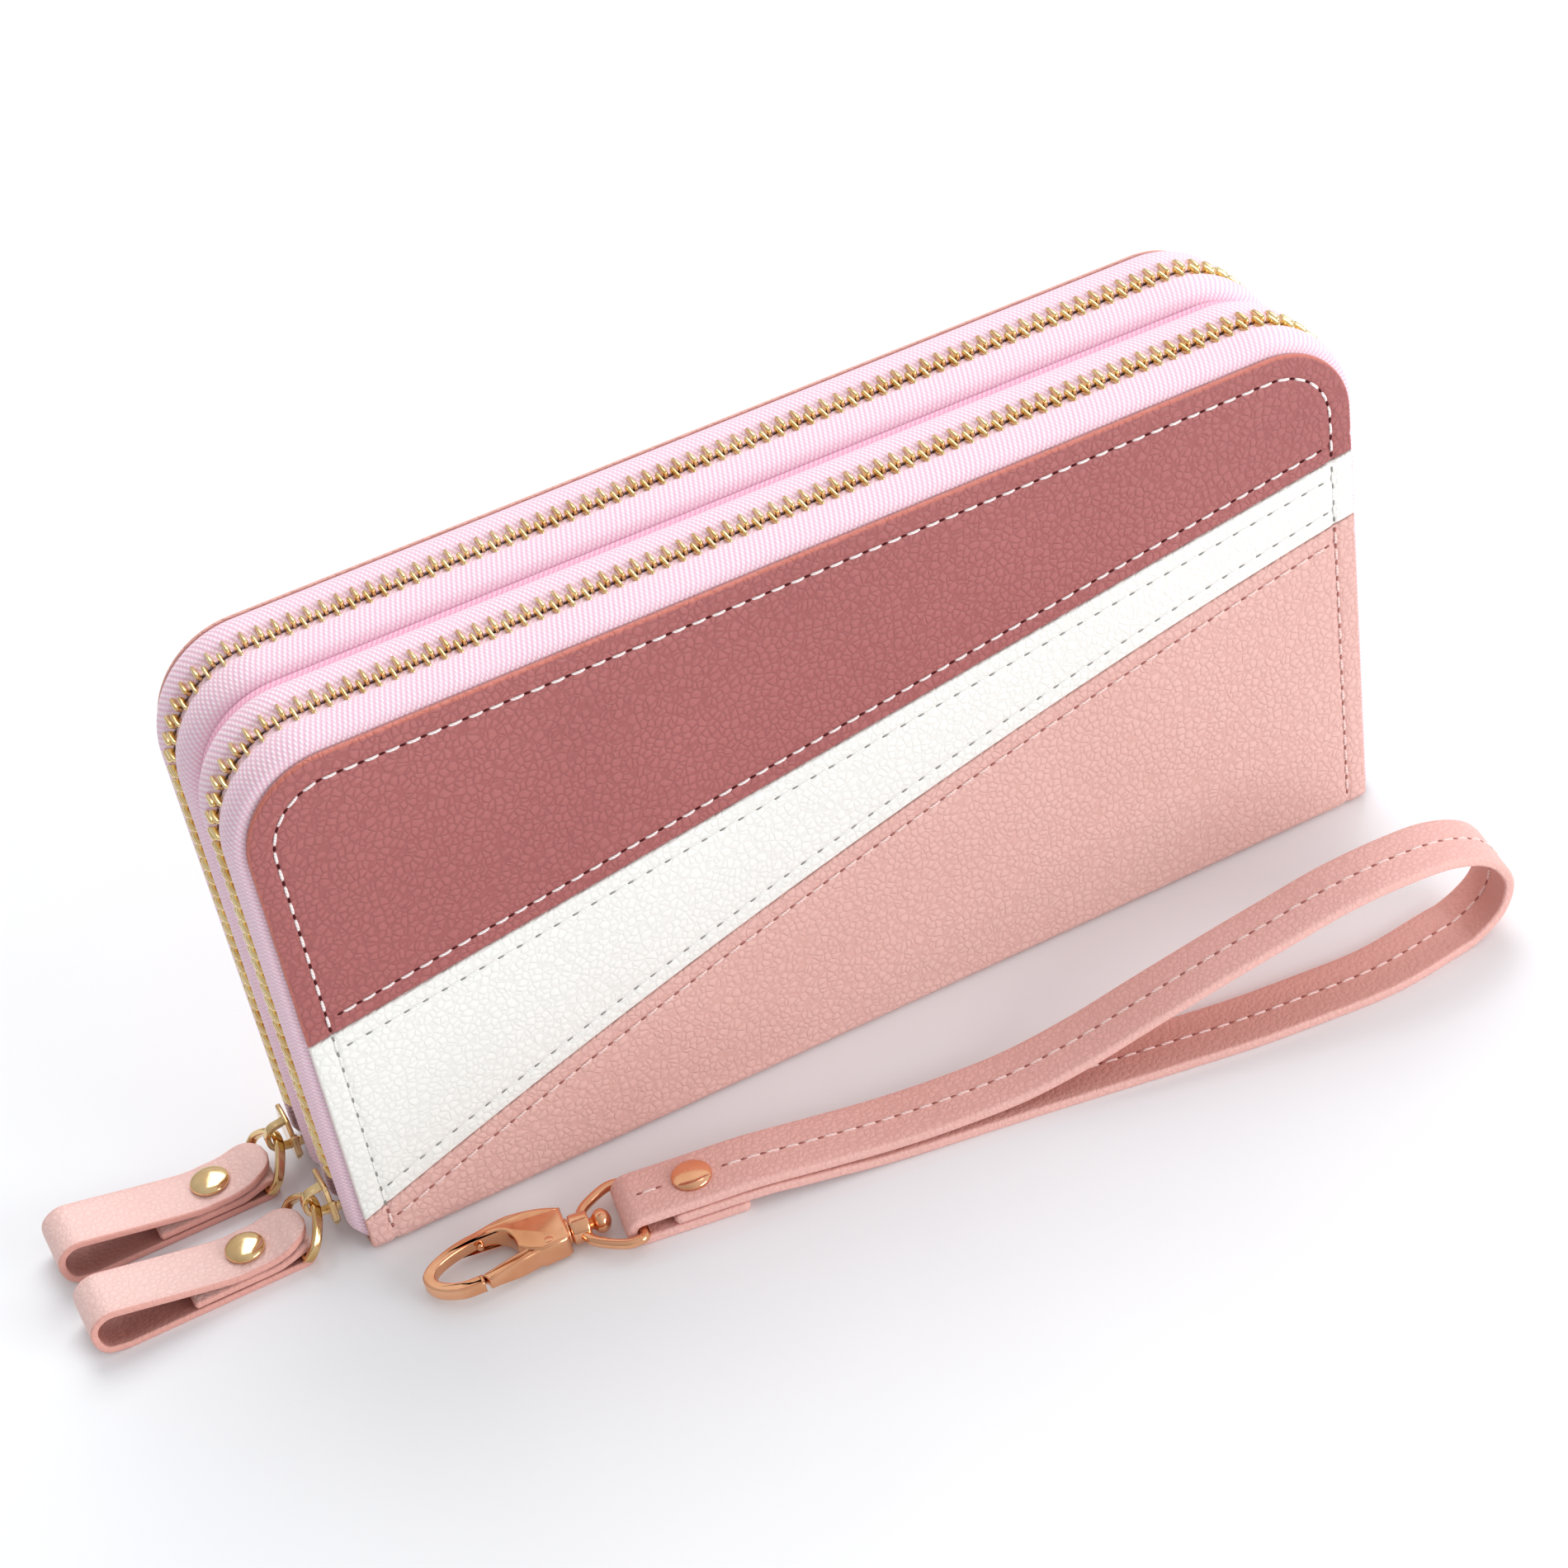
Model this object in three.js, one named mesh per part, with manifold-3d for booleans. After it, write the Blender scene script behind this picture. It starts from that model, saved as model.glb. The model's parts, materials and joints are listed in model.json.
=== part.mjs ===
// Zip-around double wallet with two zips, two leather pulls and a detachable wrist strap.
// Millimetres, +Z up. Origin: middle of the base, on the surface it stands on.
// +X runs along the length, -Y is the front, with the two-colour patch.
import * as THREE from 'three';
import { mergeVertices } from 'three/addons/utils/BufferGeometryUtils.js';
import Module from 'manifold-3d';

const wasm = await Module();
wasm.setup();

// ---- driving dimensions -------------------------------------------------------------------
const length = 200;            // cover, left edge to right edge
const height = 102;            // cover, base to top edge
const baseDepth = 38;          // front face to back face at the base
const topDepth = 45;           // front face to back face at the top
const cornerRadius = 15.5;     // top corners of the covers
const leather = 1.3;           // cover leather
const board = 1.0;             // stiffener inside each cover
const lining = 0.6;            // cloth lining and card slot layers
const baseThickness = 1.8;     // leather and lining of the base
const layerGap = 0.3;          // between layers that are sewn or glued together
const rimInset = 1.2;          // lining edge behind the cover edge
const boardInset = 6.5;        // board edge behind the cover edge

// The two seams across the front, as shares of the height.
const patchLeft = 0.4735 * height;    // lower edge of the upper patch at the left end
const patchRight = 0.7627 * height;   // and at the right end
const stripeLeft = 0.0735 * height;   // lower edge of the stripe at the left end
const stripeRight = 0.6324 * height;  // and at the right end
const stripeBow = 0.0559 * height;    // how far the stripe's lower edge bows up in the middle

const toothHalf = 2.1;         // width of one row of teeth
const toothGap = 0.8;          // half of the way left for the slider's neck
const toothThickness = 2.4;
const chainRise = 1.8;         // chain centre above the cover edge
const tapeThickness = 0.8;
const tapeGap = 0.2;           // tape to teeth
const tapeLeg = 5.7;           // tape sewn down inside the cover
const innerLeg = 3.7;          // tape sewn down on the divider

const dividerThickness = 1.8;
const dividerInset = 1.0;

const sliderLength = 10;
const sliderWidth = 8.4;
const sliderPlate = 1.2;
const sliderPlay = 0.3;        // plates to teeth
const sliderNeck = 1.0;
const sliderNeckHeight = 3;
const sliderWaist = 1.2;       // how much narrower each side is at the top
const sliderTaper = 2.5;
const sliderCorner = 1.5;
const sliderBottom = 3;        // slider's low end above the floor when the zip is closed
const bridgeLength = 7;
const bridgeWidth = 2.4;
const bridgeWire = 1.0;
const bridgeHole = 2.9;
const bridgeCorner = 1.2;
const bridgeRoot = 0.4;        // hole's start from the plate

const pullLeather = 1.3;
const pullWidth = 11;
const pullLength = 37.6;       // ring bar to the bend
const pullHeight = 8.4;        // centre of the upper layer at the bend
const pullFlap = 2.4;          // rounded end beyond the ring bar
const pullRivetAt = 8.5;       // rivet behind the ring bar
const pullFold = 20;           // inner layer's end behind the ring bar
const pullRingWire = 1.4;
const pullRingDepth = 7.6;     // bar to the far side of the ring
const pullRingSide = 0.35;     // leather edge to ring
const pullPlay = 0.15;         // leather to ring bar

const strapX = -49;            // strap rivet on the floor plan
const strapY = -40.4;
const strapTurn = -9.33;       // degrees, direction of the strap
const strapLeather = 1.9;
const strapWidth = 12;
const strapGap = 0.2;
const strapFoldAt = -10.4;     // ring bar from the rivet
const strapTail = 8;           // tail's end from the rivet
const strapLoopEnd = 151;      // loop's far end from the rivet
const strapPeak = 22.9;        // centre of the upper strand at its highest
const claspRingWire = 1.9;
const claspRingSide = 0.3;     // strap edge to ring
const claspRingDepth = 9.8;    // bar to the collar side
const collarRadius = 2.3;
const collarLength = 3.4;
const postRadius = 1.0;
const postPlay = 0.15;
const headRadius = 1.7;
const hookThickness = 5.2;
const gateTongue = 1.8;
const gatePlay = 0.3;
const gatePinRadius = 0.6;
const gateLength = 12;
const gateBar = 2.1;
const gateTongueEnd = 5.6;     // the thin part, from the pin
const gatePinBack = 3.5;       // pin behind the hook's end
const gatePinSide = -2.6;      // and beside its middle
const tipBack = 11.6;          // closed gate: the tip is this far back
const tipSide = 2.6;           // and this far to the side of the pin

const rivetCap = 3.5;          // cap radius
const rivetShank = 1.2;
const rivetBack = 3.0;
const rivetDome = 1.2;
const rivetPlay = 0.2;
const rivetSink = 0.05;        // foot above the underside of the leather
const rivetFoot = 0.7;         // top of the foot
const rivetSeat = 0.1;         // cap above the leather

const coinWidth = 150;
const coinTop = height - 20;
const coinBottom = 16;
const coinTape = 10;
const coinTeeth = 4;
const coinSlider = 8;
const coinStop = 3;            // pocket's end to the end of its teeth
const coinCloth = 0.8;
const coinTeethDepth = 1.0;
const coinPlate = 1.1;
const coinPull = 4;            // width of the small metal pull
const coinPullLength = 12;

const slotCount = 3;           // card slots in each cover
const slotTop = height - 24;   // top of the slot nearest the cover
const slotStep = 14;           // each next slot is lower
const slotLow = 7.8;
const slotInset = 10;          // slot's end from the cover's end
const weld = 0.2;              // how far welded metal parts run into each other

// ---- worked out from them -----------------------------------------------------------------
const halfLength = length / 2;
const baseHalf = baseDepth / 2;
const coverSlope = (topDepth - baseDepth) / 2 / height;
const chainY = baseDepth / 4;
const chainSlope = coverSlope / 2;
const chainHalf = toothGap + toothHalf;
const tapeInnerEnd = chainY - chainHalf - tapeGap;
const tapeOuterEnd = chainY + chainHalf + tapeGap;
const dividerHalf = dividerThickness / 2;
const seamHalf = dividerHalf + 2 * layerGap;
const boardOuter = baseHalf - leather - tapeGap;
const legOuter = baseHalf - leather - layerGap;
const legInner = legOuter - tapeThickness;
const liningOuter = legInner - 2 * tapeGap;
const slotOuter = liningOuter - lining - layerGap;
const sliderTop = sliderBottom + sliderLength;
const sliderMid = sliderBottom + sliderLength / 2;
const tapeStart = sliderTop + 2;
const tapeEnd = baseThickness + layerGap;
const sliderY = chainY + chainSlope * sliderMid;
const sliderX = -(halfLength + chainRise);
const plateInner = toothThickness / 2 + sliderPlay;
const plateOuter = plateInner + sliderPlate;
const ringX = sliderX - plateOuter - 1.5;
const pullBarZ = pullLeather + pullPlay + pullRingWire / 2;
const ringDrop = sliderMid - pullBarZ;
const ringReach = Math.sqrt(pullRingDepth ** 2 - ringDrop ** 2);
const strapPitch = strapLeather + strapGap;
const barZ = strapLeather / 2 + strapPitch;

// ---- materials ----------------------------------------------------------------------------
const finish = (color, roughness, metalness = 0) =>
  new THREE.MeshStandardMaterial({ color, roughness, metalness });
const mauveLeather = finish('#b66a6b', 0.55);
const whiteLeather = finish('#f1f1ec', 0.5);
const pinkLeather = finish('#e3ada6', 0.55);
const strapPink = finish('#dfa59b', 0.55);
const pinkTape = finish('#f3cfe2', 0.9);
const liningCloth = finish('#e9c3c4', 0.9);
const boardGrey = finish('#b9b2a8', 0.95);
const goldTeeth = finish('#d8b068', 0.25, 1);
const paleGold = finish('#e6cf9a', 0.2, 1);
const roseGold = finish('#d98a5c', 0.2, 1);
const springSteel = finish('#b8b8b8', 0.3, 1);

// ---- helpers ------------------------------------------------------------------------------
const wallet = new THREE.Group();

function piece(name, geometry, material, parent = wallet) {
  const mesh = new THREE.Mesh(geometry, material);
  mesh.name = name;
  parent.add(mesh);
  return mesh;
}

function toSolid(geometry) {
  const bare = geometry.clone();
  bare.deleteAttribute('normal');
  bare.deleteAttribute('uv');
  const merged = mergeVertices(bare, 1e-4);
  const mesh = new wasm.Mesh({
    numProp: 3,
    vertProperties: new Float32Array(merged.attributes.position.array),
    triVerts: new Uint32Array(merged.index.array),
  });
  return new wasm.Manifold(mesh);
}

function toGeometry(solid) {
  const mesh = solid.getMesh();
  const geometry = new THREE.BufferGeometry();
  geometry.setAttribute('position', new THREE.BufferAttribute(mesh.vertProperties, 3));
  geometry.setIndex(new THREE.BufferAttribute(mesh.triVerts, 1));
  return geometry;
}

const join = (first, ...rest) =>
  toGeometry(rest.reduce((solid, next) => solid.add(toSolid(next)), toSolid(first)));
const cut = (first, ...rest) =>
  toGeometry(rest.reduce((solid, next) => solid.subtract(toSolid(next)), toSolid(first)));

// A block from its low corner to its high corner.
function block(low, high) {
  const size = high.map((value, axis) => value - low[axis]);
  const middle = high.map((value, axis) => (value + low[axis]) / 2);
  return new THREE.BoxGeometry(...size).translate(...middle);
}

// A cylinder from one point to another.
function rod(radius, from, to, sides = 16) {
  const start = new THREE.Vector3(...from);
  const along = new THREE.Vector3(...to).sub(start);
  const turn = new THREE.Quaternion().setFromUnitVectors(
    new THREE.Vector3(0, 1, 0), along.clone().normalize());
  return new THREE.CylinderGeometry(radius, radius, along.length(), sides)
    .applyQuaternion(turn)
    .translate(...start.addScaledVector(along, 0.5).toArray());
}

// A path through given points in one plane, with its sections kept square to that plane.
class FlatPath extends THREE.Curve {
  constructor(points, across) {
    super();
    this.points = points;
    this.across = across;
    this.steps = points.length - 1;
  }

  getPoint(t, target = new THREE.Vector3()) {
    return target.copy(this.points[Math.round(t * this.steps)]);
  }

  getPointAt(t, target) {
    return this.getPoint(t, target);
  }

  computeFrenetFrames() {
    const heading = (from, to) => this.points[to].clone().sub(this.points[from]).normalize();
    const tangents = this.points.map((point, index) => {
      const tangent = new THREE.Vector3();
      if (index > 0) tangent.add(heading(index - 1, index));
      if (index < this.steps) tangent.add(heading(index, index + 1));
      return tangent.normalize();
    });
    const normals = tangents.map(() => this.across.clone());
    const binormals = tangents.map((tangent) => tangent.clone().cross(this.across));
    return { tangents, normals, binormals };
  }
}

function sweep(shape, points, across) {
  const path = new FlatPath(points, across);
  return new THREE.ExtrudeGeometry(shape, {
    steps: path.steps, extrudePath: path, curveSegments: 3, bevelEnabled: false });
}

const polygon = (points) => new THREE.Shape(points.map(([x, y]) => new THREE.Vector2(x, y)));
const strip = (width, thickness) => polygon([
  [-width / 2, -thickness / 2], [width / 2, -thickness / 2],
  [width / 2, thickness / 2], [-width / 2, thickness / 2]]);
const round = (radius) => new THREE.Shape().absarc(0, 0, radius, 0, 2 * Math.PI);

// Points on an arc, ends included. Angles in degrees.
function arc(centreA, centreB, radius, from, to, steps) {
  return Array.from({ length: steps + 1 }, (unused, index) => {
    const angle = THREE.MathUtils.degToRad(from + (to - from) * index / steps);
    return [centreA + radius * Math.cos(angle), centreB + radius * Math.sin(angle)];
  });
}

// A smooth run of points through a few given ones.
function smooth(points, steps) {
  const curve = new THREE.SplineCurve(points.map(([x, y]) => new THREE.Vector2(x, y)));
  return curve.getPoints(steps).map((point) => [point.x, point.y]);
}

const upright = (points) => points.map(([x, z]) => new THREE.Vector3(x, 0, z));
const level = (points) => points.map(([x, y]) => new THREE.Vector3(x, y, 0));
const acrossY = new THREE.Vector3(0, -1, 0);
const acrossZ = new THREE.Vector3(0, 0, 1);

// Leans a piece out with height: each point moves in Y by its slope times its height.
function lean(geometry, slopeAt) {
  const places = geometry.attributes.position;
  for (let index = 0; index < places.count; index += 1) {
    const y = places.getY(index);
    places.setY(index, y + Math.sign(y) * slopeAt(Math.abs(y)) * places.getZ(index));
  }
  return geometry;
}

const coverLean = () => coverSlope;
const chainLean = () => chainSlope;

function tapeLean(y) {
  if (y <= chainY) {
    const share = (y - seamHalf - tapeThickness) / (tapeInnerEnd - seamHalf - tapeThickness);
    return chainSlope * THREE.MathUtils.clamp(share, 0, 1);
  }
  const share = (y - tapeOuterEnd) / (legInner - tapeOuterEnd);
  return chainSlope + (coverSlope - chainSlope) * THREE.MathUtils.clamp(share, 0, 1);
}

// ---- outlines -----------------------------------------------------------------------------
// The cover outline, set in by inset, from a low edge that may slope from left to right.
function coverOutline(inset, lowLeft, lowRight = lowLeft) {
  const radius = cornerRadius - Math.min(inset, cornerRadius - 1);
  const side = halfLength - inset;
  const top = height - inset;
  const shape = new THREE.Shape();
  shape.moveTo(-side, lowLeft);
  shape.lineTo(side, lowRight);
  shape.lineTo(side, top - radius);
  shape.absarc(side - radius, top - radius, radius, 0, Math.PI / 2, false);
  shape.lineTo(-side + radius, top);
  shape.absarc(-side + radius, top - radius, radius, Math.PI / 2, Math.PI, false);
  return shape;
}

// An outline in X and Z given a thickness in Y, from yFrom towards +Y.
function sheet(shape, yFrom, thickness) {
  const settings = { depth: thickness, curveSegments: 8, bevelEnabled: false };
  return new THREE.ExtrudeGeometry(shape, settings)
    .rotateX(Math.PI / 2)
    .translate(0, yFrom + thickness, 0);
}

// The way the zips go: up the left end, over the top and down the right end.
function rimPath() {
  const side = halfLength - cornerRadius;
  const top = height - cornerRadius;
  return upright([
    [-halfLength, tapeStart],
    ...arc(-side, top, cornerRadius, 180, 90, 8),
    ...arc(side, top, cornerRadius, 90, 0, 8),
    [halfLength, tapeEnd],
  ]);
}

// A profile of [depth, rise above the cover edge] swept along the rim. side is -1 front, 1 rear.
function rimStrip(profile, side) {
  const shape = polygon(profile.map(([y, rise]) => [-side * y, -rise]));
  return sweep(shape, rimPath(), acrossY);
}

// ---- one zip ------------------------------------------------------------------------------
function zip(prefix, side) {
  const high = chainRise + tapeThickness / 2;
  const outerTape = [
    [legOuter, -tapeLeg - layerGap], [legOuter, -0.2], [legOuter - 0.8, 1.2],
    [legOuter - 2.4, high - 0.1], [tapeOuterEnd, high],
    [tapeOuterEnd, high - tapeThickness], [legOuter - 2.6, high - 0.1 - tapeThickness],
    [legInner - 0.4, 0.4], [legInner, -0.5], [legInner, -tapeLeg - layerGap]];
  const innerTape = [
    [seamHalf, -innerLeg - layerGap], [seamHalf, -0.4], [seamHalf + 1.1, 1.4],
    [seamHalf + 2.8, high], [tapeInnerEnd, high],
    [tapeInnerEnd, high - tapeThickness], [seamHalf + 3.2, high - tapeThickness],
    [seamHalf + 1.7, 0.7], [seamHalf + tapeThickness, -0.6],
    [seamHalf + tapeThickness, -innerLeg - layerGap]];
  const row = (from, to) => [
    [from, chainRise - toothThickness / 2], [to, chainRise - toothThickness / 2],
    [to, chainRise + toothThickness / 2], [from, chainRise + toothThickness / 2]];
  piece(`${prefix}_outer_tape`, lean(rimStrip(outerTape, side), tapeLean), pinkTape);
  piece(`${prefix}_inner_tape`, lean(rimStrip(innerTape, side), tapeLean), pinkTape);
  piece(`${prefix}_outer_teeth`,
    lean(rimStrip(row(chainY + toothGap, chainY + chainHalf), side), chainLean), goldTeeth);
  piece(`${prefix}_inner_teeth`,
    lean(rimStrip(row(chainY - chainHalf, chainY - toothGap), side), chainLean), goldTeeth);
}

// ---- slider, ring and leather pull --------------------------------------------------------
function sliderShape() {
  const half = sliderWidth / 2;
  const end = sliderLength / 2;
  const waist = half - sliderWaist;
  return polygon([
    [-half, -end + sliderCorner], [-half + sliderCorner, -end],
    [half - sliderCorner, -end], [half, -end + sliderCorner],
    [half, end - sliderTaper], [waist, end], [-waist, end], [-half, end - sliderTaper]]);
}

// One plate in Y and Z, from xFrom towards +X.
function sliderFace(xFrom) {
  return new THREE.ExtrudeGeometry(sliderShape(), { depth: sliderPlate, bevelEnabled: false })
    .rotateX(Math.PI / 2)
    .rotateZ(Math.PI / 2)
    .translate(xFrom, 0, 0);
}

function bridge() {
  const half = bridgeLength / 2;
  const reach = bridgeHole + bridgeWire;
  const shape = polygon([
    [0, -half], [-reach + bridgeCorner, -half], [-reach, -half + bridgeCorner],
    [-reach, half - bridgeCorner], [-reach + bridgeCorner, half], [0, half]]);
  const hole = polygon([
    [-bridgeRoot, -half + bridgeWire], [-bridgeRoot, half - bridgeWire],
    [-bridgeHole, half - bridgeWire], [-bridgeHole, -half + bridgeWire]]);
  shape.holes.push(hole);
  return sheet(shape, -bridgeWidth / 2, bridgeWidth).translate(-plateOuter + weld, 0, 0);
}

// Two plates joined by a neck at the low end, with a bridge for the pull ring.
function slider(name, group) {
  const reach = plateInner + weld;
  const low = -sliderLength / 2 + 0.5;
  const neck = block(
    [-reach, -sliderNeck / 2, low], [reach, sliderNeck / 2, low + sliderNeckHeight]);
  const plates = [sliderFace(-plateOuter), sliderFace(plateInner)];
  piece(name, join(...plates, neck, bridge()), paleGold, group);
}

// A ring of round wire: a straight bar at x = -depth, and a bow whose far side is at x = 0.
function dRing(depth, width, wire) {
  const radius = width / 2;
  const bow = Math.min(radius, depth);
  const turn = arc(-bow, 0, radius, -90, 90, 12)
    .map(([x, y]) => [-bow + (x + bow) * bow / radius, y]);
  const sides = depth > bow ? [[[-depth, -radius]], [[-depth, radius]]] : [[], []];
  const points = [...sides[0], ...turn, ...sides[1]];
  const bowTube = sweep(round(wire / 2), level(points), acrossZ);
  const reach = radius + wire / 2;
  return join(bowTube, rod(wire / 2, [-depth, -reach, 0], [-depth, reach, 0], 12));
}

const lathe = (profile, sides) =>
  new THREE.LatheGeometry(profile.map(([x, y]) => new THREE.Vector2(x, y)), sides)
    .rotateX(Math.PI / 2);

// Rivet with a domed cap, through leather from z = 0 to z = top.
function rivet(top) {
  const seat = top + rivetSeat;
  return lathe([
    [0, rivetSink], [rivetBack, rivetSink], [rivetBack, rivetFoot], [rivetShank, rivetFoot],
    [rivetShank, seat], [rivetCap, seat], [rivetCap, seat + 0.25 * rivetDome],
    [rivetCap * 0.72, seat + 0.75 * rivetDome], [rivetCap * 0.38, seat + 0.95 * rivetDome],
    [0, seat + rivetDome]], 24);
}

// The hole a rivet goes through, with a seat for its foot underneath.
function rivetHole(top) {
  const foot = rivetFoot + rivetPlay;
  return lathe([
    [0, -1], [rivetBack + rivetPlay, -1], [rivetBack + rivetPlay, foot],
    [rivetShank + rivetPlay, foot], [rivetShank + rivetPlay, top], [0, top]], 24);
}

// The leather pull in its own frame: the ring bar's axis is Y at x = 0, z = pullBarZ.
// The band goes from the rounded flap back along the top, round the bend, along the base,
// round the ring bar and back between the two.
function pullPath() {
  const half = pullLeather / 2;
  const pitch = pullLeather + layerGap;
  const wrap = pullPlay + pullRingWire / 2 + half;
  const inner = pitch + half;
  const stack = inner + pitch;
  const flapZ = pullBarZ + wrap + pitch;
  const bend = -pullLength;
  const upper = smooth([
    [pullFlap, flapZ], [-0.4, flapZ - 0.02], [-3, stack + 0.62],
    [-pullRivetAt + 3, stack + 0.06], [-pullRivetAt, stack], [-pullRivetAt - 4, stack + 0.1],
    [bend + 15.6, stack + 2.1], [bend + 7, pullHeight - 0.5], [bend + 3.6, pullHeight],
    [bend + 1.2, pullHeight - 1.4], [bend + half, pullHeight - 4], [bend + 1.9, 1.6],
    [bend + 5.5, half]], 36);
  return upright([
    ...upper, ...arc(0, pullBarZ, wrap, -90, 90, 8), [-1.4, inner + 1], [-3.4, inner + 0.35],
    [-pullRivetAt + 3, inner], [-pullFold, inner]]);
}

function pull(prefix, group) {
  const stackTop = 3 * pullLeather + 2 * layerGap;
  const end = pullWidth / 2;
  const flapLow = pullBarZ + pullPlay + pullRingWire / 2 + pullLeather + layerGap / 2;
  const flapHigh = flapLow + 2 * pullHeight;
  const roundEnd = cut(
    block([-1, -pullWidth, flapLow], [pullFlap + 2, pullWidth, flapHigh]),
    rod(end, [pullFlap - end, 0, flapLow - 1], [pullFlap - end, 0, flapHigh + 1], 32));
  const band = sweep(strip(pullWidth, pullLeather), pullPath(), acrossY);
  const hole = rivetHole(2 * stackTop).translate(-pullRivetAt, 0, 0);
  const cap = rivet(stackTop + layerGap).translate(-pullRivetAt, 0, 0);
  piece(`${prefix}_pull_leather`, cut(band, roundEnd, hole), strapPink, group);
  piece(`${prefix}_pull_rivet`, cap, goldTeeth, group);
}

function pullSet(prefix, side) {
  const sliderGroup = new THREE.Group();
  sliderGroup.position.set(sliderX, side * sliderY, sliderMid);
  wallet.add(sliderGroup);
  slider(`${prefix}_slider`, sliderGroup);

  const ringGroup = new THREE.Group();
  ringGroup.position.set(ringX, side * sliderY, sliderMid);
  ringGroup.rotation.y = -Math.atan2(ringDrop, ringReach);
  wallet.add(ringGroup);
  const ringWidth = pullWidth + 2 * pullRingSide + pullRingWire;
  piece(`${prefix}_pull_ring`, dRing(pullRingDepth, ringWidth, pullRingWire), paleGold, ringGroup);

  const pullGroup = new THREE.Group();
  pullGroup.position.set(ringX - ringReach, side * sliderY, 0);
  wallet.add(pullGroup);
  pull(prefix, pullGroup);
}

// ---- covers -------------------------------------------------------------------------------
function coverInside(prefix, side) {
  const layer = (shape, outer, thickness) => {
    const geometry = sheet(shape, side > 0 ? outer - thickness : -outer, thickness);
    return lean(geometry, coverLean);
  };
  const boardShape = coverOutline(boardInset, baseThickness);
  const liningShape = coverOutline(rimInset, baseThickness + layerGap);
  piece(`${prefix}_board`, layer(boardShape, boardOuter, board), boardGrey);
  piece(`${prefix}_lining`, layer(liningShape, liningOuter, lining), liningCloth);
  const half = halfLength - slotInset;
  for (let slot = 0; slot < slotCount; slot += 1) {
    const top = slotTop - slotStep * slot;
    const shape = polygon([[-half, slotLow], [half, slotLow], [half, top], [-half, top]]);
    const outer = slotOuter - slot * (lining + layerGap);
    piece(`${prefix}_card_slot_${slot + 1}`, layer(shape, outer, lining), liningCloth);
  }
}

// Lower edge of the stripe as points from left to right, moved by shift in Z.
function stripeEdge(shift) {
  const curve = new THREE.QuadraticBezierCurve(
    new THREE.Vector2(-halfLength, stripeLeft + shift),
    new THREE.Vector2(0, (stripeLeft + stripeRight) / 2 + 2 * stripeBow + shift),
    new THREE.Vector2(halfLength, stripeRight + shift));
  return curve.getPoints(8).map((point) => [point.x, point.y]);
}

function frontPanels() {
  const skin = (shape) => lean(sheet(shape, -baseHalf, leather), coverLean);
  const gap = layerGap / 2;
  const lower = polygon([[-halfLength, 0], [halfLength, 0], ...stripeEdge(-gap).reverse()]);
  const stripe = polygon([
    ...stripeEdge(gap), [halfLength, patchRight - gap], [-halfLength, patchLeft - gap]]);
  piece('front_lower_panel', skin(lower), pinkLeather);
  piece('front_middle_stripe', skin(stripe), whiteLeather);
  piece('front_upper_patch', skin(coverOutline(0, patchLeft + gap, patchRight + gap)), mauveLeather);
}

coverInside('front', -1);
frontPanels();
coverInside('back', 1);
const backSkin = sheet(coverOutline(0, 0), baseHalf - leather, leather);
piece('back_panel', lean(backSkin, coverLean), pinkLeather);
zip('front', -1);
zip('rear', 1);
pullSet('front', -1);
pullSet('rear', 1);

// ---- base, divider and its pockets --------------------------------------------------------
const spineHalf = liningOuter - lining - layerGap;
const spine = block([-halfLength, -spineHalf, 0], [halfLength, spineHalf, baseThickness]);
const divider = sheet(
  coverOutline(dividerInset, baseThickness + layerGap), -dividerHalf, dividerThickness);
piece('base_spine', spine, pinkLeather);
piece('center_divider', divider, liningCloth);

const coinHalf = coinWidth / 2;
const coinBack = -dividerHalf - layerGap;
const coinFront = coinBack - coinCloth;
const coinZ = coinTop - coinTape / 2;
const coinChainZ = coinTeeth / 2;
const coinPanelTop = coinTop - coinTape - layerGap;
const teethFront = coinFront - tapeGap - coinTeethDepth;
const coinSliderLeft = -coinHalf + coinStop;
const coinPullLeft = coinSliderLeft + (coinSlider - coinPull) / 2;
const coinPlateFront = teethFront - sliderPlay - coinPlate;
piece('coin_pocket_panel',
  block([-coinHalf, coinFront, coinBottom], [coinHalf, coinBack, coinPanelTop]), liningCloth);
piece('coin_zip_tape',
  block([-coinHalf, coinFront, coinTop - coinTape], [coinHalf, coinBack, coinTop]), pinkTape);
piece('coin_zip_teeth',
  block([-coinHalf + coinStop, teethFront, coinZ - coinChainZ],
    [coinHalf - coinStop, coinFront - tapeGap, coinZ + coinChainZ]), goldTeeth);
piece('coin_zip_slider', join(
  block([coinSliderLeft, coinPlateFront, coinZ - coinSlider / 2 + 1],
    [coinSliderLeft + coinSlider, coinPlateFront + coinPlate, coinZ + coinSlider / 2 - 1]),
  block([coinPullLeft, coinPlateFront - coinPlate + weld, coinZ - coinPullLength],
    [coinPullLeft + coinPull, coinPlateFront + weld, coinZ + 1.5])), paleGold);
piece('slip_pocket_panel',
  block([-coinHalf - 10, dividerHalf + layerGap, slotLow],
    [coinHalf + 10, dividerHalf + layerGap + coinCloth, coinTop - slotStep]), liningCloth);

// ---- wrist strap --------------------------------------------------------------------------
const strapGroup = new THREE.Group();
strapGroup.position.set(strapX, strapY, 0);
strapGroup.rotation.z = THREE.MathUtils.degToRad(strapTurn);
wallet.add(strapGroup);

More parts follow.
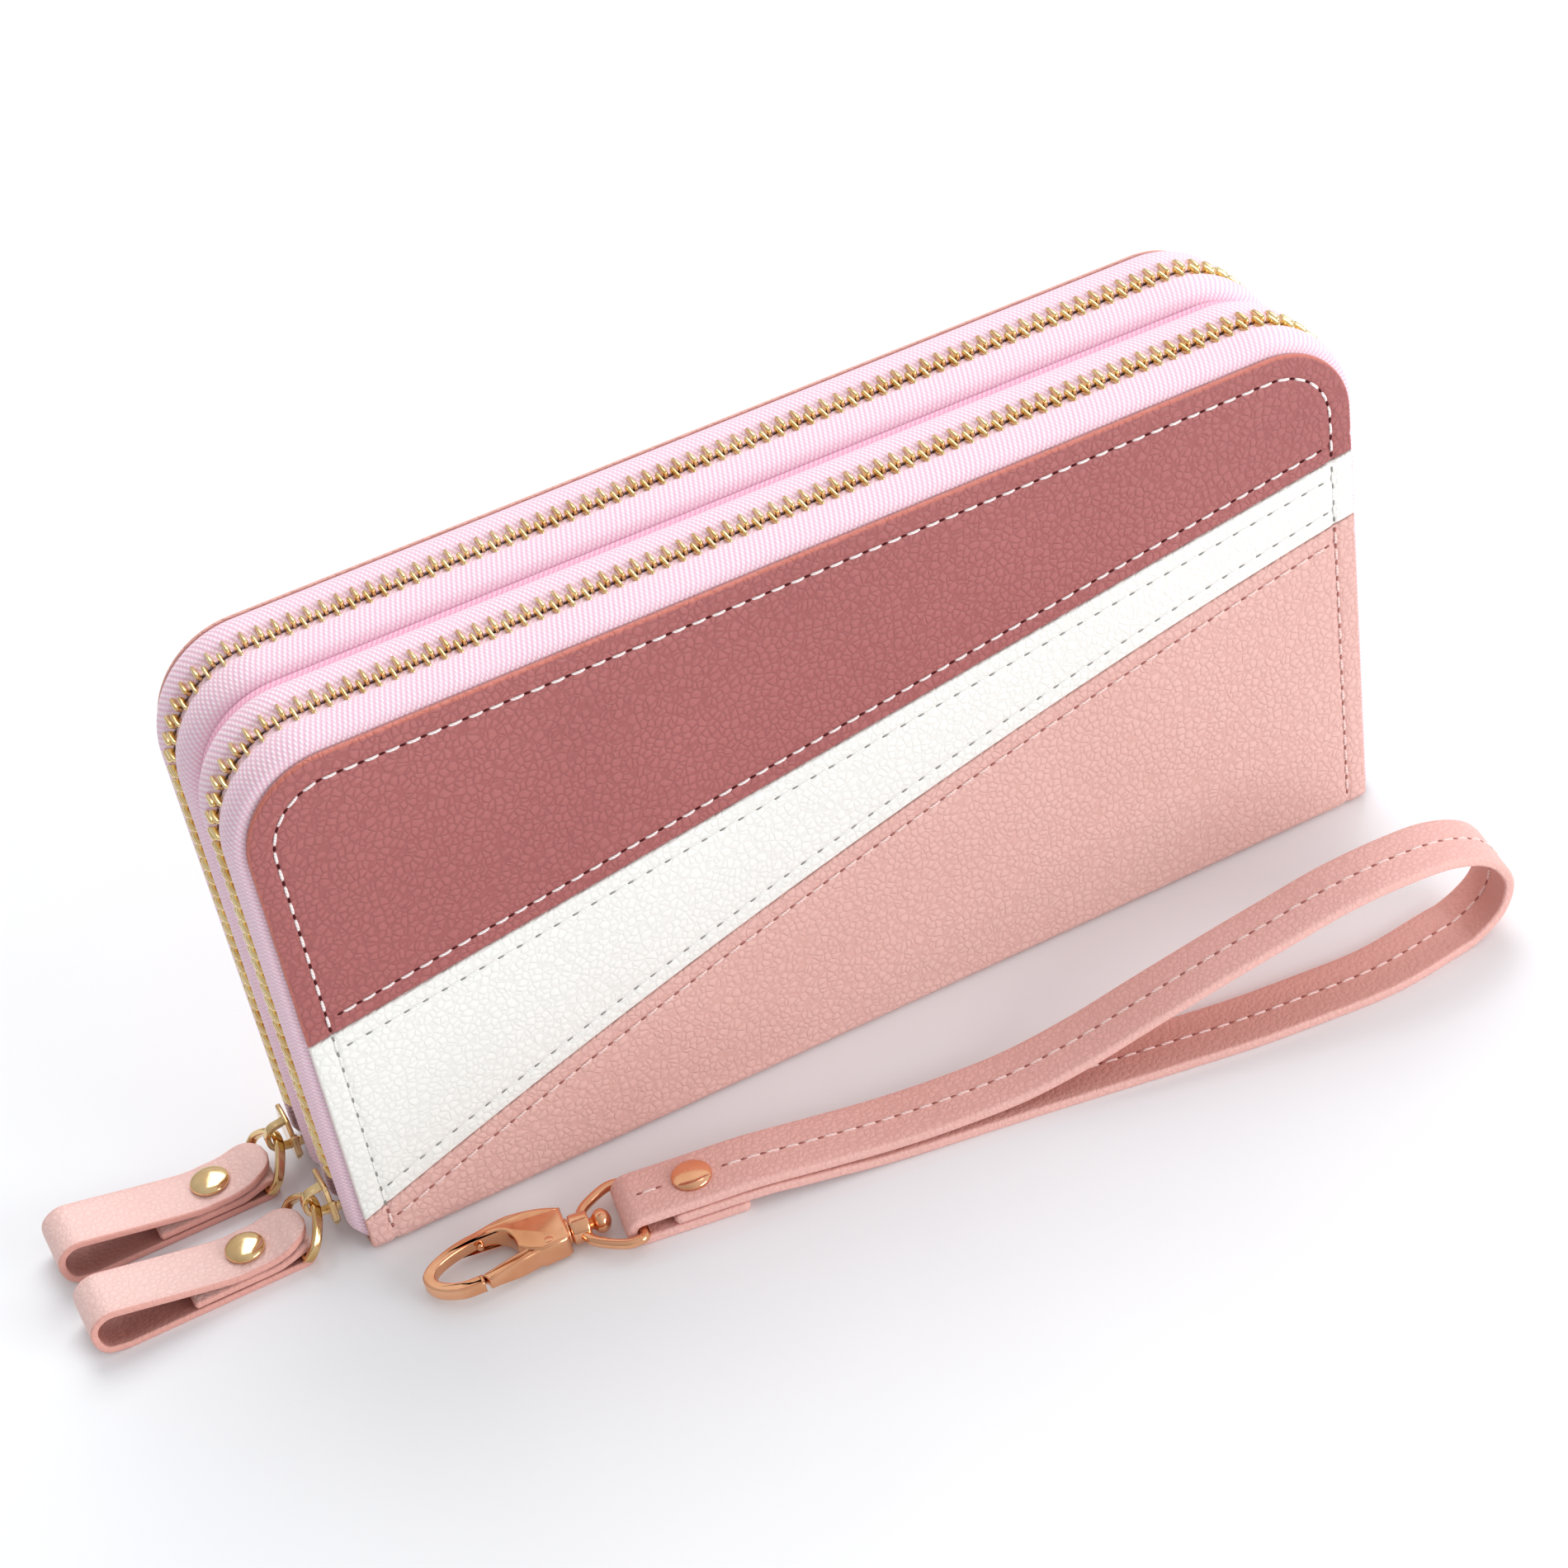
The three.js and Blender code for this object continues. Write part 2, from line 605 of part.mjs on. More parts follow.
// One band: tail, round the ring, along the top, round the hand loop and back underneath.
function strapPath() {
  const low = strapLeather / 2;
  const mid = low + strapPitch;
  const high = mid + strapPitch;
  const end = strapLoopEnd - low;
  return upright([
    [strapTail, low],
    ...arc(strapFoldAt, barZ, strapPitch, -90, -270, 10),
    [0, high], [strapTail + 2, high], [strapTail + 12, mid],
    ...smooth([
      [34, mid], [46, mid + 0.1], [58, mid + 1.5], [end - 80, mid + 4.35],
      [end - 68, strapPeak - 11.5], [end - 56, strapPeak - 7.7], [end - 44, strapPeak - 4.3],
      [end - 32, strapPeak - 1.1], [end - 22, strapPeak], [end - 12, strapPeak - 1.3],
      [end - 4, strapPeak - 5.5], [end, strapPeak - 12.1], [end - 1.6, 5], [end - 7, 1.6],
      [end - 14, low]], 56),
    [strapTail + 12, low], [strapTail + 2, mid], [strapFoldAt + 5.4, mid],
  ]);
}

const strapStack = 3 * strapLeather + 2 * strapGap;
piece('wrist_strap', cut(
  sweep(strip(strapWidth, strapLeather), strapPath(), acrossY),
  rivetHole(2 * strapStack)), strapPink, strapGroup);
piece('strap_rivet', rivet(strapStack), goldTeeth, strapGroup);

// Ring with a collar that the hook turns in.
const claspGroup = new THREE.Group();
claspGroup.position.set(strapFoldAt - claspRingDepth, 0, barZ);
strapGroup.add(claspGroup);
const collar = rod(collarRadius, [-collarLength / 2, 0, 0], [collarLength / 2, 0, 0], 20);
const claspRingWidth = strapWidth + 2 * claspRingSide + claspRingWire;
const claspRing = dRing(claspRingDepth, claspRingWidth, claspRingWire).rotateZ(Math.PI);
const postHole = rod(postRadius + postPlay, [-collarLength, 0, 0], [collarLength, 0, 0], 20);
piece('clasp_ring', cut(join(claspRing, collar), postHole), roseGold, claspGroup);

// ---- hook, gate, pin and spring -----------------------------------------------------------
const hookEnd = -collarLength / 2 - 0.5;
const gatePinX = hookEnd - gatePinBack;
const gatePinY = gatePinSide;
const gateTurn = Math.atan2(tipSide, tipBack);
const tipX = gatePinX - gateLength * Math.cos(gateTurn);
const tipY = gatePinY - gateLength * Math.sin(gateTurn);

function hookOutline() {
  const outer = smooth([
    [hookEnd, 5.2], [hookEnd - 8, 6.4], [hookEnd - 17, 5.6], [hookEnd - 23.5, 2.8],
    [hookEnd - 25.4, -1], [hookEnd - 23.6, -4.6], [hookEnd - 19, tipY - 1.2], [tipX - 0.6, tipY - 1.1]], 28);
  const inner = smooth([
    [tipX - 0.6, tipY + 1.2], [hookEnd - 19, -4], [hookEnd - 22.6, -1], [hookEnd - 21, 2.2],
    [hookEnd - 15.5, 4], [hookEnd - 9.5, 3.4], [hookEnd - 7.2, 1], [hookEnd - 7.2, -1]], 24);
  return polygon([...outer, ...inner, [hookEnd - 5.6, -4.6], [hookEnd - 1, -3.9], [hookEnd, -3.2]]);
}

const hookHalf = hookThickness / 2;
const plate = new THREE.ExtrudeGeometry(hookOutline(), { depth: hookThickness, bevelEnabled: false })
  .translate(0, 0, -hookHalf);
const slot = block([hookEnd - 9, -7, -gateTongue / 2 - gatePlay - 0.5],
  [hookEnd - 1.4, -0.8, gateTongue / 2 + gatePlay + 0.5]);
const headX = collarLength / 2 + 0.9 + headRadius;
const head = new THREE.SphereGeometry(headRadius, 16, 10).translate(headX, 0, 0);
const post = rod(postRadius, [hookEnd - 1, 0, 0], [headX, 0, 0], 20);
const pinHole = rod(gatePinRadius + 0.1,
  [gatePinX, gatePinY, -hookHalf - 1], [gatePinX, gatePinY, hookHalf + 1], 12);
piece('clasp_hook', join(cut(plate, slot, pinHole), post, head), roseGold, claspGroup);
piece('clasp_gate_pin',
  rod(gatePinRadius, [gatePinX, gatePinY, -hookHalf + 0.2], [gatePinX, gatePinY, hookHalf - 0.2], 12),
  roseGold, claspGroup);

// The gate is drawn along -X from its pin, then turned to the hook's tip.
const tongueLow = -gateTongue / 2 + 0.5;
const gateBlock = (from, to, thickness, low) =>
  block([-to, -gateBar / 2, low], [-from, gateBar / 2, low + thickness]);
const gateEye = rod(gateBar / 2, [0, 0, tongueLow], [0, 0, tongueLow + gateTongue], 16);
const tongue = gateBlock(0, gateTongueEnd + 0.9, gateTongue, tongueLow);
const gateBody = gateBlock(gateTongueEnd, gateLength, hookThickness, -hookHalf);
const gateHole = rod(gatePinRadius + 0.1, [0, 0, -hookHalf], [0, 0, hookHalf], 12);
const gateSolid = cut(join(tongue, gateEye, gateBody), gateHole);
const gate = piece('clasp_gate', gateSolid, roseGold, claspGroup);
gate.position.set(gatePinX, gatePinY, 0);
gate.rotation.z = gateTurn;

const springInner = gatePinRadius + 0.2;
const springOuter = springInner + 0.5;
const springHeight = 0.7;
const coil = lathe([[springInner, 0], [springOuter, 0], [springOuter, springHeight],
  [springInner, springHeight], [springInner, 0]], 16)
  .translate(gatePinX, gatePinY, -gateTongue / 2 - 0.4);
piece('clasp_gate_spring', coil, springSteel, claspGroup);

export default wallet;
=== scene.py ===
# Looks of a wristlet wallet: two leather covers, two zips, leather pulls and a wrist strap with a clasp.
import json
import math

import bmesh
import bpy
import numpy as np
from mathutils import Matrix, Vector
from mathutils.geometry import tessellate_polygon


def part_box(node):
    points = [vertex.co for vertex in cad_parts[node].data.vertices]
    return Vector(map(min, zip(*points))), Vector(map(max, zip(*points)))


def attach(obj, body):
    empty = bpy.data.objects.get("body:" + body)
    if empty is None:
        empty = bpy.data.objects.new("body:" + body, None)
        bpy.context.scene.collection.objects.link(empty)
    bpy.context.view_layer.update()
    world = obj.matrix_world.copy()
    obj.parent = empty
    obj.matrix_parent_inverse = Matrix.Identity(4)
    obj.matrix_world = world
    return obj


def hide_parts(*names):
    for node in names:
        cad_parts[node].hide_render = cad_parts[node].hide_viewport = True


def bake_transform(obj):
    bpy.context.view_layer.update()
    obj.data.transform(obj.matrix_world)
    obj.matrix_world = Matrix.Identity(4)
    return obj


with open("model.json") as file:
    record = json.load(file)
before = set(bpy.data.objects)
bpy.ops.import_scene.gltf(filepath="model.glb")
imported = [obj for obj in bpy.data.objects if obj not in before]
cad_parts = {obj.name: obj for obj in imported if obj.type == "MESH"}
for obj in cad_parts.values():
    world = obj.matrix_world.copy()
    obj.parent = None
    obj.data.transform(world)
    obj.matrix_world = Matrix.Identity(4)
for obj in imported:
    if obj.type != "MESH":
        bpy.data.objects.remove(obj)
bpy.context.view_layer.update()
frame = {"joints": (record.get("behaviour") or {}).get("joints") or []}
mm = 0.001  # everything below is drawn in millimetres
print("frame loaded")

joints = {joint["name"]: joint for joint in frame["joints"]}


def jointAt(name):
    return np.array(joints[name]["pos_m"]) / mm


def boxOf(node):
    low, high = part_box(node)
    return np.array(low) / mm, np.array(high) / mm


coverTop = boxOf("back_panel")[1]
halfLength = coverTop[0]
height = coverTop[2]
baseHalf = jointAt("back_cover_open")[1]
coverLean = (coverTop[1] - baseHalf) / height  # how far the covers lean out for each millimetre of height
chainY = baseHalf / 2  # each zip runs midway between the divider and its cover
chainLean = coverLean / 2
cornerRadius = 15.5


def smoothStep(t):
    t = np.clip(t, 0, 1)
    return t * t * (3 - 2 * t)


def unit(vectors):
    vectors = np.asarray(vectors, float)
    return vectors / np.maximum(np.linalg.norm(vectors, axis=-1, keepdims=True), 1e-9)


def arc(centre, radius, start, end, steps):
    angles = np.radians(np.linspace(start, end, steps + 1))
    return np.stack([centre[0] + radius * np.cos(angles), centre[1] + radius * np.sin(angles)], 1)


# a smooth curve through a few points
def throughPoints(points, perSpan):
    points = np.asarray(points, float)
    ends = np.vstack([2 * points[0] - points[1], points, 2 * points[-1] - points[-2]])
    curve = []
    for span in range(len(points) - 1):
        a, b, c, d = ends[span:span + 4]
        for t in np.arange(perSpan) / perSpan:
            curve.append(0.5 * (2 * b + (c - a) * t + (2 * a - 5 * b + 4 * c - d) * t**2
                                + (3 * b - a - 3 * c + d) * t**3))
    curve.append(points[-1])
    return np.array(curve)


def lengthAlong(path):
    steps = np.linalg.norm(np.diff(path, axis=0), axis=1)
    return np.concatenate([[0], np.cumsum(steps)])


# the same curve with its points a set distance apart
def evenly(path, step):
    along = lengthAlong(path)
    count = max(2, int(round(along[-1] / step)) + 1)
    places = np.linspace(0, along[-1], count)
    return np.stack([np.interp(places, along, path[:, axis]) for axis in range(path.shape[1])], 1)


def gridFaces(rows, columns, closedRows=False, closedColumns=False):
    faces = []
    for row in range(rows if closedRows else rows - 1):
        after = (row + 1) % rows
        for column in range(columns if closedColumns else columns - 1):
            beside = (column + 1) % columns
            faces.append((row * columns + column, row * columns + beside,
                          after * columns + beside, after * columns + column))
    return faces


# a tube's sides and the two faces that close its ends
def tubeFaces(rings, count):
    last = (rings - 1) * count
    return gridFaces(rings, count, False, True) + [tuple(range(count)), tuple(range(last, last + count))]


# the two sides of a sheet joined round its border, and the border's point numbers
def sheetFaces(rows, columns):
    count = rows * columns
    grid = gridFaces(rows, columns)
    faces = grid + [tuple(index + count for index in face) for face in grid]
    around = ([(0, c) for c in range(columns)] + [(r, columns - 1) for r in range(1, rows)]
              + [(rows - 1, c) for c in range(columns - 2, -1, -1)]
              + [(r, 0) for r in range(rows - 2, 0, -1)])
    border = [row * columns + column for row, column in around]
    for here, there in zip(border, border[1:] + border[:1]):
        faces.append((here, there, there + count, here + count))
    return faces, border


# several (points, faces) put together as one
def together(parts):
    points = []
    faces = []
    start = 0
    for partPoints, partFaces in parts:
        points.append(partPoints)
        faces.extend([tuple(index + start for index in face) for face in partFaces])
        start += len(partPoints)
    return np.vstack(points), faces


# a mesh with smooth shading; values are numbers or vectors for each point, read by the materials
def makePiece(name, points, faces, material, **values):
    mesh = bpy.data.meshes.new(name)
    mesh.from_pydata((np.asarray(points, float) * mm).tolist(), [], faces)
    for key, numbers in values.items():
        numbers = np.asarray(numbers, np.float32)
        vector = numbers.ndim == 2
        layer = mesh.attributes.new(key, "FLOAT_VECTOR" if vector else "FLOAT", "POINT")
        layer.data.foreach_set("vector" if vector else "value", numbers.ravel())
    shape = bmesh.new()
    shape.from_mesh(mesh)
    bmesh.ops.recalc_face_normals(shape, faces=shape.faces)
    shape.to_mesh(mesh)
    shape.free()
    mesh.polygons.foreach_set("use_smooth", [True] * len(mesh.polygons))
    mesh.materials.append(material)
    piece = bpy.data.objects.new(name, mesh)
    bpy.context.scene.collection.objects.link(piece)
    return piece


# the body a piece moves with and the CAD piece it stands for
def assign(piece, body, node=None):
    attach(piece, body)
    if node is not None:
        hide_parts(node)


# a section (across, outward) carried along a path; it may change from point to point
def sweep(path, across, section, closed=False):
    path = np.asarray(path, float)
    if closed:
        heading = np.roll(path, -1, 0) - np.roll(path, 1, 0)
    else:
        heading = np.gradient(path, axis=0)
    heading = unit(heading)
    across = np.broadcast_to(np.asarray(across, float), path.shape)
    across = unit(across - (across * heading).sum(1, keepdims=True) * heading)
    outward = np.cross(across, heading)
    section = np.asarray(section, float)
    if section.ndim == 2:
        section = np.broadcast_to(section, (len(path),) + section.shape)
    points = path[:, None] + across[:, None] * section[..., :1] + outward[:, None] * section[..., 1:]
    count = section.shape[1]
    faces = gridFaces(len(path), count, True, True) if closed else tubeFaces(len(path), count)
    return points.reshape(-1, 3), faces


def roundSection(radius, sides, flat=1.0):
    angles = np.linspace(0, 2 * math.pi, sides, endpoint=False)
    return np.stack([radius * np.cos(angles), radius * flat * np.sin(angles)], 1)


# rounded rectangle: half sizes, corner radius, points in each corner and along each long side
def softSection(half, halfThick, radius, corner=4, along=6):
    runs = []
    for side, centre, start in (((1, 1), (half - radius, halfThick - radius), 0),
                                ((-1, 1), (radius - half, halfThick - radius), 90),
                                ((-1, -1), (radius - half, radius - halfThick), 180),
                                ((1, -1), (half - radius, radius - halfThick), 270)):
        runs.append(arc(centre, radius, start, start + 90, corner))
        if side in ((1, 1), (-1, -1)):
            runs.append(np.stack([np.linspace(centre[0], -centre[0], along + 2)[1:-1],
                                  np.full(along, side[1] * halfThick)], 1))
    return np.vstack(runs)


# a profile of (radius, height) turned about the upright axis
def turned(profile, sides=40):
    angles = np.linspace(0, 2 * math.pi, sides, endpoint=False)
    profile = np.asarray(profile, float)
    points = np.stack([profile[:, :1] * np.cos(angles), profile[:, :1] * np.sin(angles),
                       np.repeat(profile[:, 1:], sides, 1)], -1).reshape(-1, 3)
    return points, tubeFaces(len(profile), sides)


# a flat outline given a thickness, with rounded rims
def bevelledPlate(outline, low, high, bevel):
    outline = np.asarray(outline, float)
    area = np.cross(outline, np.roll(outline, -1, 0)).sum()
    if area < 0:
        outline = outline[::-1]
    before = unit(outline - np.roll(outline, 1, 0))
    after = unit(np.roll(outline, -1, 0) - outline)
    inward = unit(np.stack([-(before + after)[:, 1], (before + after)[:, 0]], 1))
    angles = np.linspace(0, math.pi / 2, 5)
    rimInset = bevel * 1.15
    flatInset = bevel + 0.15
    rings = [(flatInset, low), (rimInset, low)]
    for angle in angles:
        rings.append((bevel * (1 - math.sin(angle)), low + bevel * (1 - math.cos(angle))))
    for angle in angles[::-1]:
        rings.append((bevel * (1 - math.sin(angle)), high - bevel * (1 - math.cos(angle))))
    rings += [(rimInset, high), (flatInset, high)]
    points = np.vstack([np.column_stack([outline + inward * inset, np.full(len(outline), level)])
                        for inset, level in rings])
    count = len(outline)
    faces = gridFaces(len(rings), count, False, True)
    cap = tessellate_polygon([[Vector((*corner, 0)) for corner in outline]])
    top = (len(rings) - 1) * count
    faces += [tuple(triangle) for triangle in cap]
    faces += [tuple(index + top for index in triangle) for triangle in cap]
    return points, faces


def moved(part, shift=(0, 0, 0), turn=None):
    points, faces = part
    if turn is not None:
        points = points @ np.array(turn).T
    return points + np.array(shift, float), faces


def turnAbout(axis, degrees):
    return np.array(Matrix.Rotation(math.radians(degrees), 3, axis))


def colourOf(hexText):
    values = [int(hexText[place:place + 2], 16) / 255 for place in (1, 3, 5)]
    linear = [v / 12.92 if v <= 0.04045 else ((v + 0.055) / 1.055) ** 2.4 for v in values]
    return (*linear, 1)


class NodeTree:
    # short ways to add and join the nodes of a material or a world
    def __init__(self, owner):
        owner.use_nodes = True
        self.nodes = owner.node_tree.nodes
        self.links = owner.node_tree.links

    def add(self, kind, inputs=None, **settings):
        node = self.nodes.new("ShaderNode" + kind)
        for key, value in settings.items():
            setattr(node, key, value)
        for key, value in (inputs or {}).items():
            if isinstance(value, bpy.types.NodeSocket):
                self.links.new(value, node.inputs[key])
            else:
                node.inputs[key].default_value = value
        return node

    def math(self, operation, first, second=0.5, third=None):
        inputs = {0: first, 1: second}
        if third is not None:
            inputs[2] = third
        return self.add("Math", inputs, operation=operation).outputs[0]

    def blend(self, share, first, second):
        node = self.add("Mix", data_type="RGBA")
        for socket, value in ((node.inputs[0], share), (node.inputs[6], first), (node.inputs[7], second)):
            if isinstance(value, bpy.types.NodeSocket):
                self.links.new(value, socket)
            else:
                socket.default_value = value
        return node.outputs[2]

    def ramp(self, value, low, high, start=0.0, end=1.0, smooth=False):
        node = self.add("MapRange", {"Value": value, "From Min": low, "From Max": high,
                                     "To Min": start, "To Max": end},
                        interpolation_type="SMOOTHSTEP" if smooth else "LINEAR")
        return node.outputs["Result"]


class Finish(NodeTree):
    # a new material
    def __init__(self, name):
        self.material = bpy.data.materials.new(name)
        super().__init__(self.material)
        self.shader = self.nodes["Principled BSDF"]

    def setShader(self, **values):
        names = {"colour": "Base Color", "roughness": "Roughness", "normal": "Normal",
                 "metallic": "Metallic", "sheen": "Sheen Weight", "sheenRoughness": "Sheen Roughness",
                 "specular": "Specular IOR Level"}
        for key, value in values.items():
            socket = self.shader.inputs[names[key]]
            if isinstance(value, bpy.types.NodeSocket):
                self.links.new(value, socket)
            else:
                socket.default_value = value


# pebbled leather: domes parted by furrows, paler or darker in broad patches, and darkened in the furrows as
# painted shade
def leather(name, look):
    finish = Finish(name)
    place = finish.add("TexCoord").outputs["Object"]
    wander = finish.add("TexNoise", {"Vector": place, "Scale": look["wanderScale"],
                                     "Detail": 2.0}).outputs["Color"]
    shift = finish.add("VectorMath", {0: wander, 1: (0.5, 0.5, 0.5)}, operation="SUBTRACT").outputs[0]
    shift = finish.add("VectorMath", {0: shift, "Scale": look["wander"] * mm}, operation="SCALE").outputs[0]
    warped = finish.add("VectorMath", {0: place, 1: shift}, operation="ADD").outputs[0]
    cellScale = 1 / (look["cell"] * mm)
    cells = finish.add("TexVoronoi", {"Vector": warped, "Scale": cellScale},
                       feature="DISTANCE_TO_EDGE").outputs["Distance"]
    domes = finish.add("TexVoronoi", {"Vector": warped, "Scale": cellScale, "Smoothness": 0.3},
                       feature="SMOOTH_F1").outputs["Distance"]
    pebble = finish.ramp(domes, 0.75, 0.1, smooth=True)
    fine = finish.add("TexNoise", {"Vector": place, "Scale": look["fineScale"], "Detail": 3.0}).outputs["Fac"]
    furrow = finish.ramp(cells, 0.0, look["crease"], smooth=True)
    relief = finish.math("MULTIPLY_ADD", pebble, look["pebble"],
                         finish.math("MULTIPLY", furrow, look["furrow"]))
    relief = finish.math("MULTIPLY_ADD", fine, look["fine"], relief)
    bump = finish.add("Bump", {"Height": relief, "Strength": look["bump"], "Distance": look["depth"] * mm})
    broad = finish.add("TexNoise", {"Vector": place, "Scale": look["patchScale"],
                                    "Detail": 3.0}).outputs["Fac"]
    tone = finish.blend(finish.ramp(broad, 0.3, 0.7), colourOf(look["shade"]), colourOf(look["colour"]))
    # painted shade: the colour darkens towards the furrow shade colour in the furrows between the domes
    crease = finish.ramp(cells, 0.0, look["crease"], look["furrowShadeStrength"], 0.0, smooth=True)
    tone = finish.blend(crease, tone, colourOf(look["furrowShadeColour"]))
    edge = finish.add("Attribute", attribute_name="edge").outputs["Fac"]
    tone = finish.blend(edge, tone, colourOf(look["edge"]))
    inner = finish.add("Attribute", attribute_name="inner").outputs["Fac"]
    tone = finish.blend(inner, tone, colourOf(look["inner"]))
    rough = finish.ramp(fine, 0.3, 0.7, look["roughness"] - 0.05, look["roughness"] + 0.07)
    finish.setShader(colour=tone, roughness=rough, normal=bump.outputs[0], specular=look["specular"])
    return finish.material


# cell, wander and depth are in millimetres; pebble, furrow and fine are shares of the relief
leatherLook = dict(cell=1.4, wander=1.0, wanderScale=420.0, crease=0.2, pebble=0.55, furrow=0.45, fine=0.14,
                   fineScale=3200.0, patchScale=26.0, bump=0.6, depth=0.3, furrowShadeStrength=0.55,
                   roughness=0.46, specular=0.45)
mauveLeather = leather("mauveLeather", dict(leatherLook, colour="#AE6663", shade="#A65F5D",
                                            furrowShadeColour="#924C4B", edge="#C97262", inner="#C98F86"))
whiteLeather = leather("whiteLeather", dict(leatherLook, colour="#F5F5F0", shade="#F1F1EC",
                                            furrowShadeStrength=0.4, bump=0.42, furrowShadeColour="#DEDED9",
                                            edge="#EFE9E2", inner="#D9D4CC"))
pinkLeather = leather("pinkLeather", dict(leatherLook, colour="#E7BBB2", shade="#E2B3AA", furrowShadeStrength=0.4,
                                          furrowShadeColour="#CF9A91", edge="#E7AE9E", inner="#D9A096"))
strapLeather = leather("strapLeather", dict(leatherLook, cell=1.1, depth=0.14, furrowShadeStrength=0.3,
                                            colour="#EEBBB3", shade="#E8B3AA", furrowShadeColour="#CC938A",
                                            edge="#E8B5AB", inner="#D9A298", roughness=0.5))
# the pull's inner colour is a dark pink laid on the faces inside its loop: painted shade
pullLeather = leather("pullLeather", dict(leatherLook, cell=1.1, depth=0.14, furrowShadeStrength=0.25,
                                          colour="#F2CFC8", shade="#EDC5BD", furrowShadeColour="#DCADA4",
                                          edge="#E0A498", inner="#AC7166", roughness=0.5))


# woven tape: slanting twill ribs, each broken into small dots, with painted shade in the grooves and painted
# highlight on the nubs
def wovenTape(name, look):
    finish = Finish(name)
    along = finish.add("Attribute", attribute_name="along").outputs["Vector"]
    turn = finish.add("Mapping", {"Vector": along, "Rotation": (0, 0, math.radians(look["slant"]))})
    apart = finish.add("SeparateXYZ", {0: turn.outputs[0]})
    wander = finish.add("TexNoise", {"Vector": along, "Scale": 0.5, "Detail": 2.0}).outputs["Fac"]
    ribPlace = finish.math("MULTIPLY_ADD", wander, 0.9, finish.math("MULTIPLY", apart.outputs[0],
                                                                    2 * math.pi / look["rib"]))
    rib = finish.math("MULTIPLY_ADD", finish.math("SINE", ribPlace), 0.5, 0.5)
    dotPlace = finish.math("MULTIPLY_ADD", ribPlace, 0.5,
                           finish.math("MULTIPLY", apart.outputs[1], 2 * math.pi / look["dot"]))
    dot = finish.math("MULTIPLY_ADD", finish.math("SINE", dotPlace), 0.5, 0.5)
    dotted = finish.math("MULTIPLY_ADD", dot, look["dotShare"], 1 - look["dotShare"])
    nub = finish.math("MULTIPLY", rib, dotted)
    bump = finish.add("Bump", {"Height": nub, "Strength": look["bump"], "Distance": look["depth"] * mm})
    # painted shade and highlight: the grooves take the shade colour and the tops of the nubs the pale colour
    tone = finish.blend(finish.ramp(nub, 0.0, 0.55), colourOf(look["shade"]), colourOf(look["colour"]))
    fuzz = finish.add("TexNoise", {"Vector": along, "Scale": 0.3, "Detail": 4.0}).outputs["Fac"]
    tone = finish.blend(finish.ramp(fuzz, 0.4, 0.75, 0.0, 0.4), tone, colourOf(look["blush"]))
    finish.setShader(colour=tone, roughness=finish.ramp(nub, 0, 1, 0.86, 0.74), normal=bump.outputs[0],
                     sheen=look["sheen"], sheenRoughness=0.4, specular=0.25)
    return finish.material


zipTape = wovenTape("zipTape", dict(rib=0.78, dot=0.7, dotShare=0.75, slant=28, bump=0.7, depth=0.16,
                                    sheen=0.25, colour="#FCEAF1", shade="#ECBCD0", blush="#F6D3E1"))
# deep pink cloth for the strip in the valley between the zips: painted shade
valleyShadeTape = wovenTape("valleyShadeTape", dict(rib=0.8, dot=0.6, dotShare=0.5, slant=28, bump=0.5, depth=0.1,
                                      sheen=0.2, colour="#F8C6D9", shade="#EE9EBD", blush="#F5B5CC"))
liningCloth = wovenTape("liningCloth", dict(rib=0.5, dot=0.5, dotShare=0.6, slant=45, bump=0.4, depth=0.06,
                                            sheen=0.15, colour="#EBC6C4", shade="#CF9C9B", blush="#E2B5B4"))


def thread(name, look):
    finish = Finish(name)
    place = finish.add("TexCoord").outputs["Object"]
    ply = finish.add("TexWave", {"Vector": place, "Scale": 900.0, "Distortion": 1.5},
                     bands_direction="DIAGONAL").outputs["Fac"]
    # painted shade: the thread is darker in the grooves between its plies
    tone = finish.blend(ply, colourOf(look["shade"]), colourOf(look["colour"]))
    bump = finish.add("Bump", {"Height": ply, "Strength": 0.4, "Distance": 0.05 * mm})
    rough = finish.ramp(ply, 0, 1, 0.7, 0.55)
    finish.setShader(colour=tone, roughness=rough, normal=bump.outputs[0], sheen=0.2, specular=0.3)
    return finish.material


# a dark spot of painted shade at each end of a stitch, standing for the pricked hole
def needleHoleShade(name, look):
    finish = Finish(name)
    place = finish.add("TexCoord").outputs["Object"]
    spot = finish.add("TexNoise", {"Vector": place, "Scale": 1500.0}).outputs["Fac"]
    tone = finish.blend(spot, colourOf(look["colour"]), colourOf(look["shade"]))
    finish.setShader(colour=tone, roughness=finish.ramp(spot, 0, 1, 0.8, 0.95), specular=0.1)
    return finish.material


whiteThread = thread("whiteThread", dict(colour="#FBF6F4", shade="#E3D5D2"))
greyThread = thread("greyThread", dict(colour="#F4F3F0", shade="#E4E3DF"))
pinkThread = thread("pinkThread", dict(colour="#F9E3DE", shade="#E5BDB6"))
# dark hole colours: painted shade in the needle holes
mauveHoleShade = needleHoleShade("mauveHoleShade", dict(colour="#5A2427", shade="#3E1416"))
whiteHoleShade = needleHoleShade("whiteHoleShade", dict(colour="#ABA9A5", shade="#8E8C88"))
pinkHoleShade = needleHoleShade("pinkHoleShade", dict(colour="#B97E76", shade="#9C6058"))


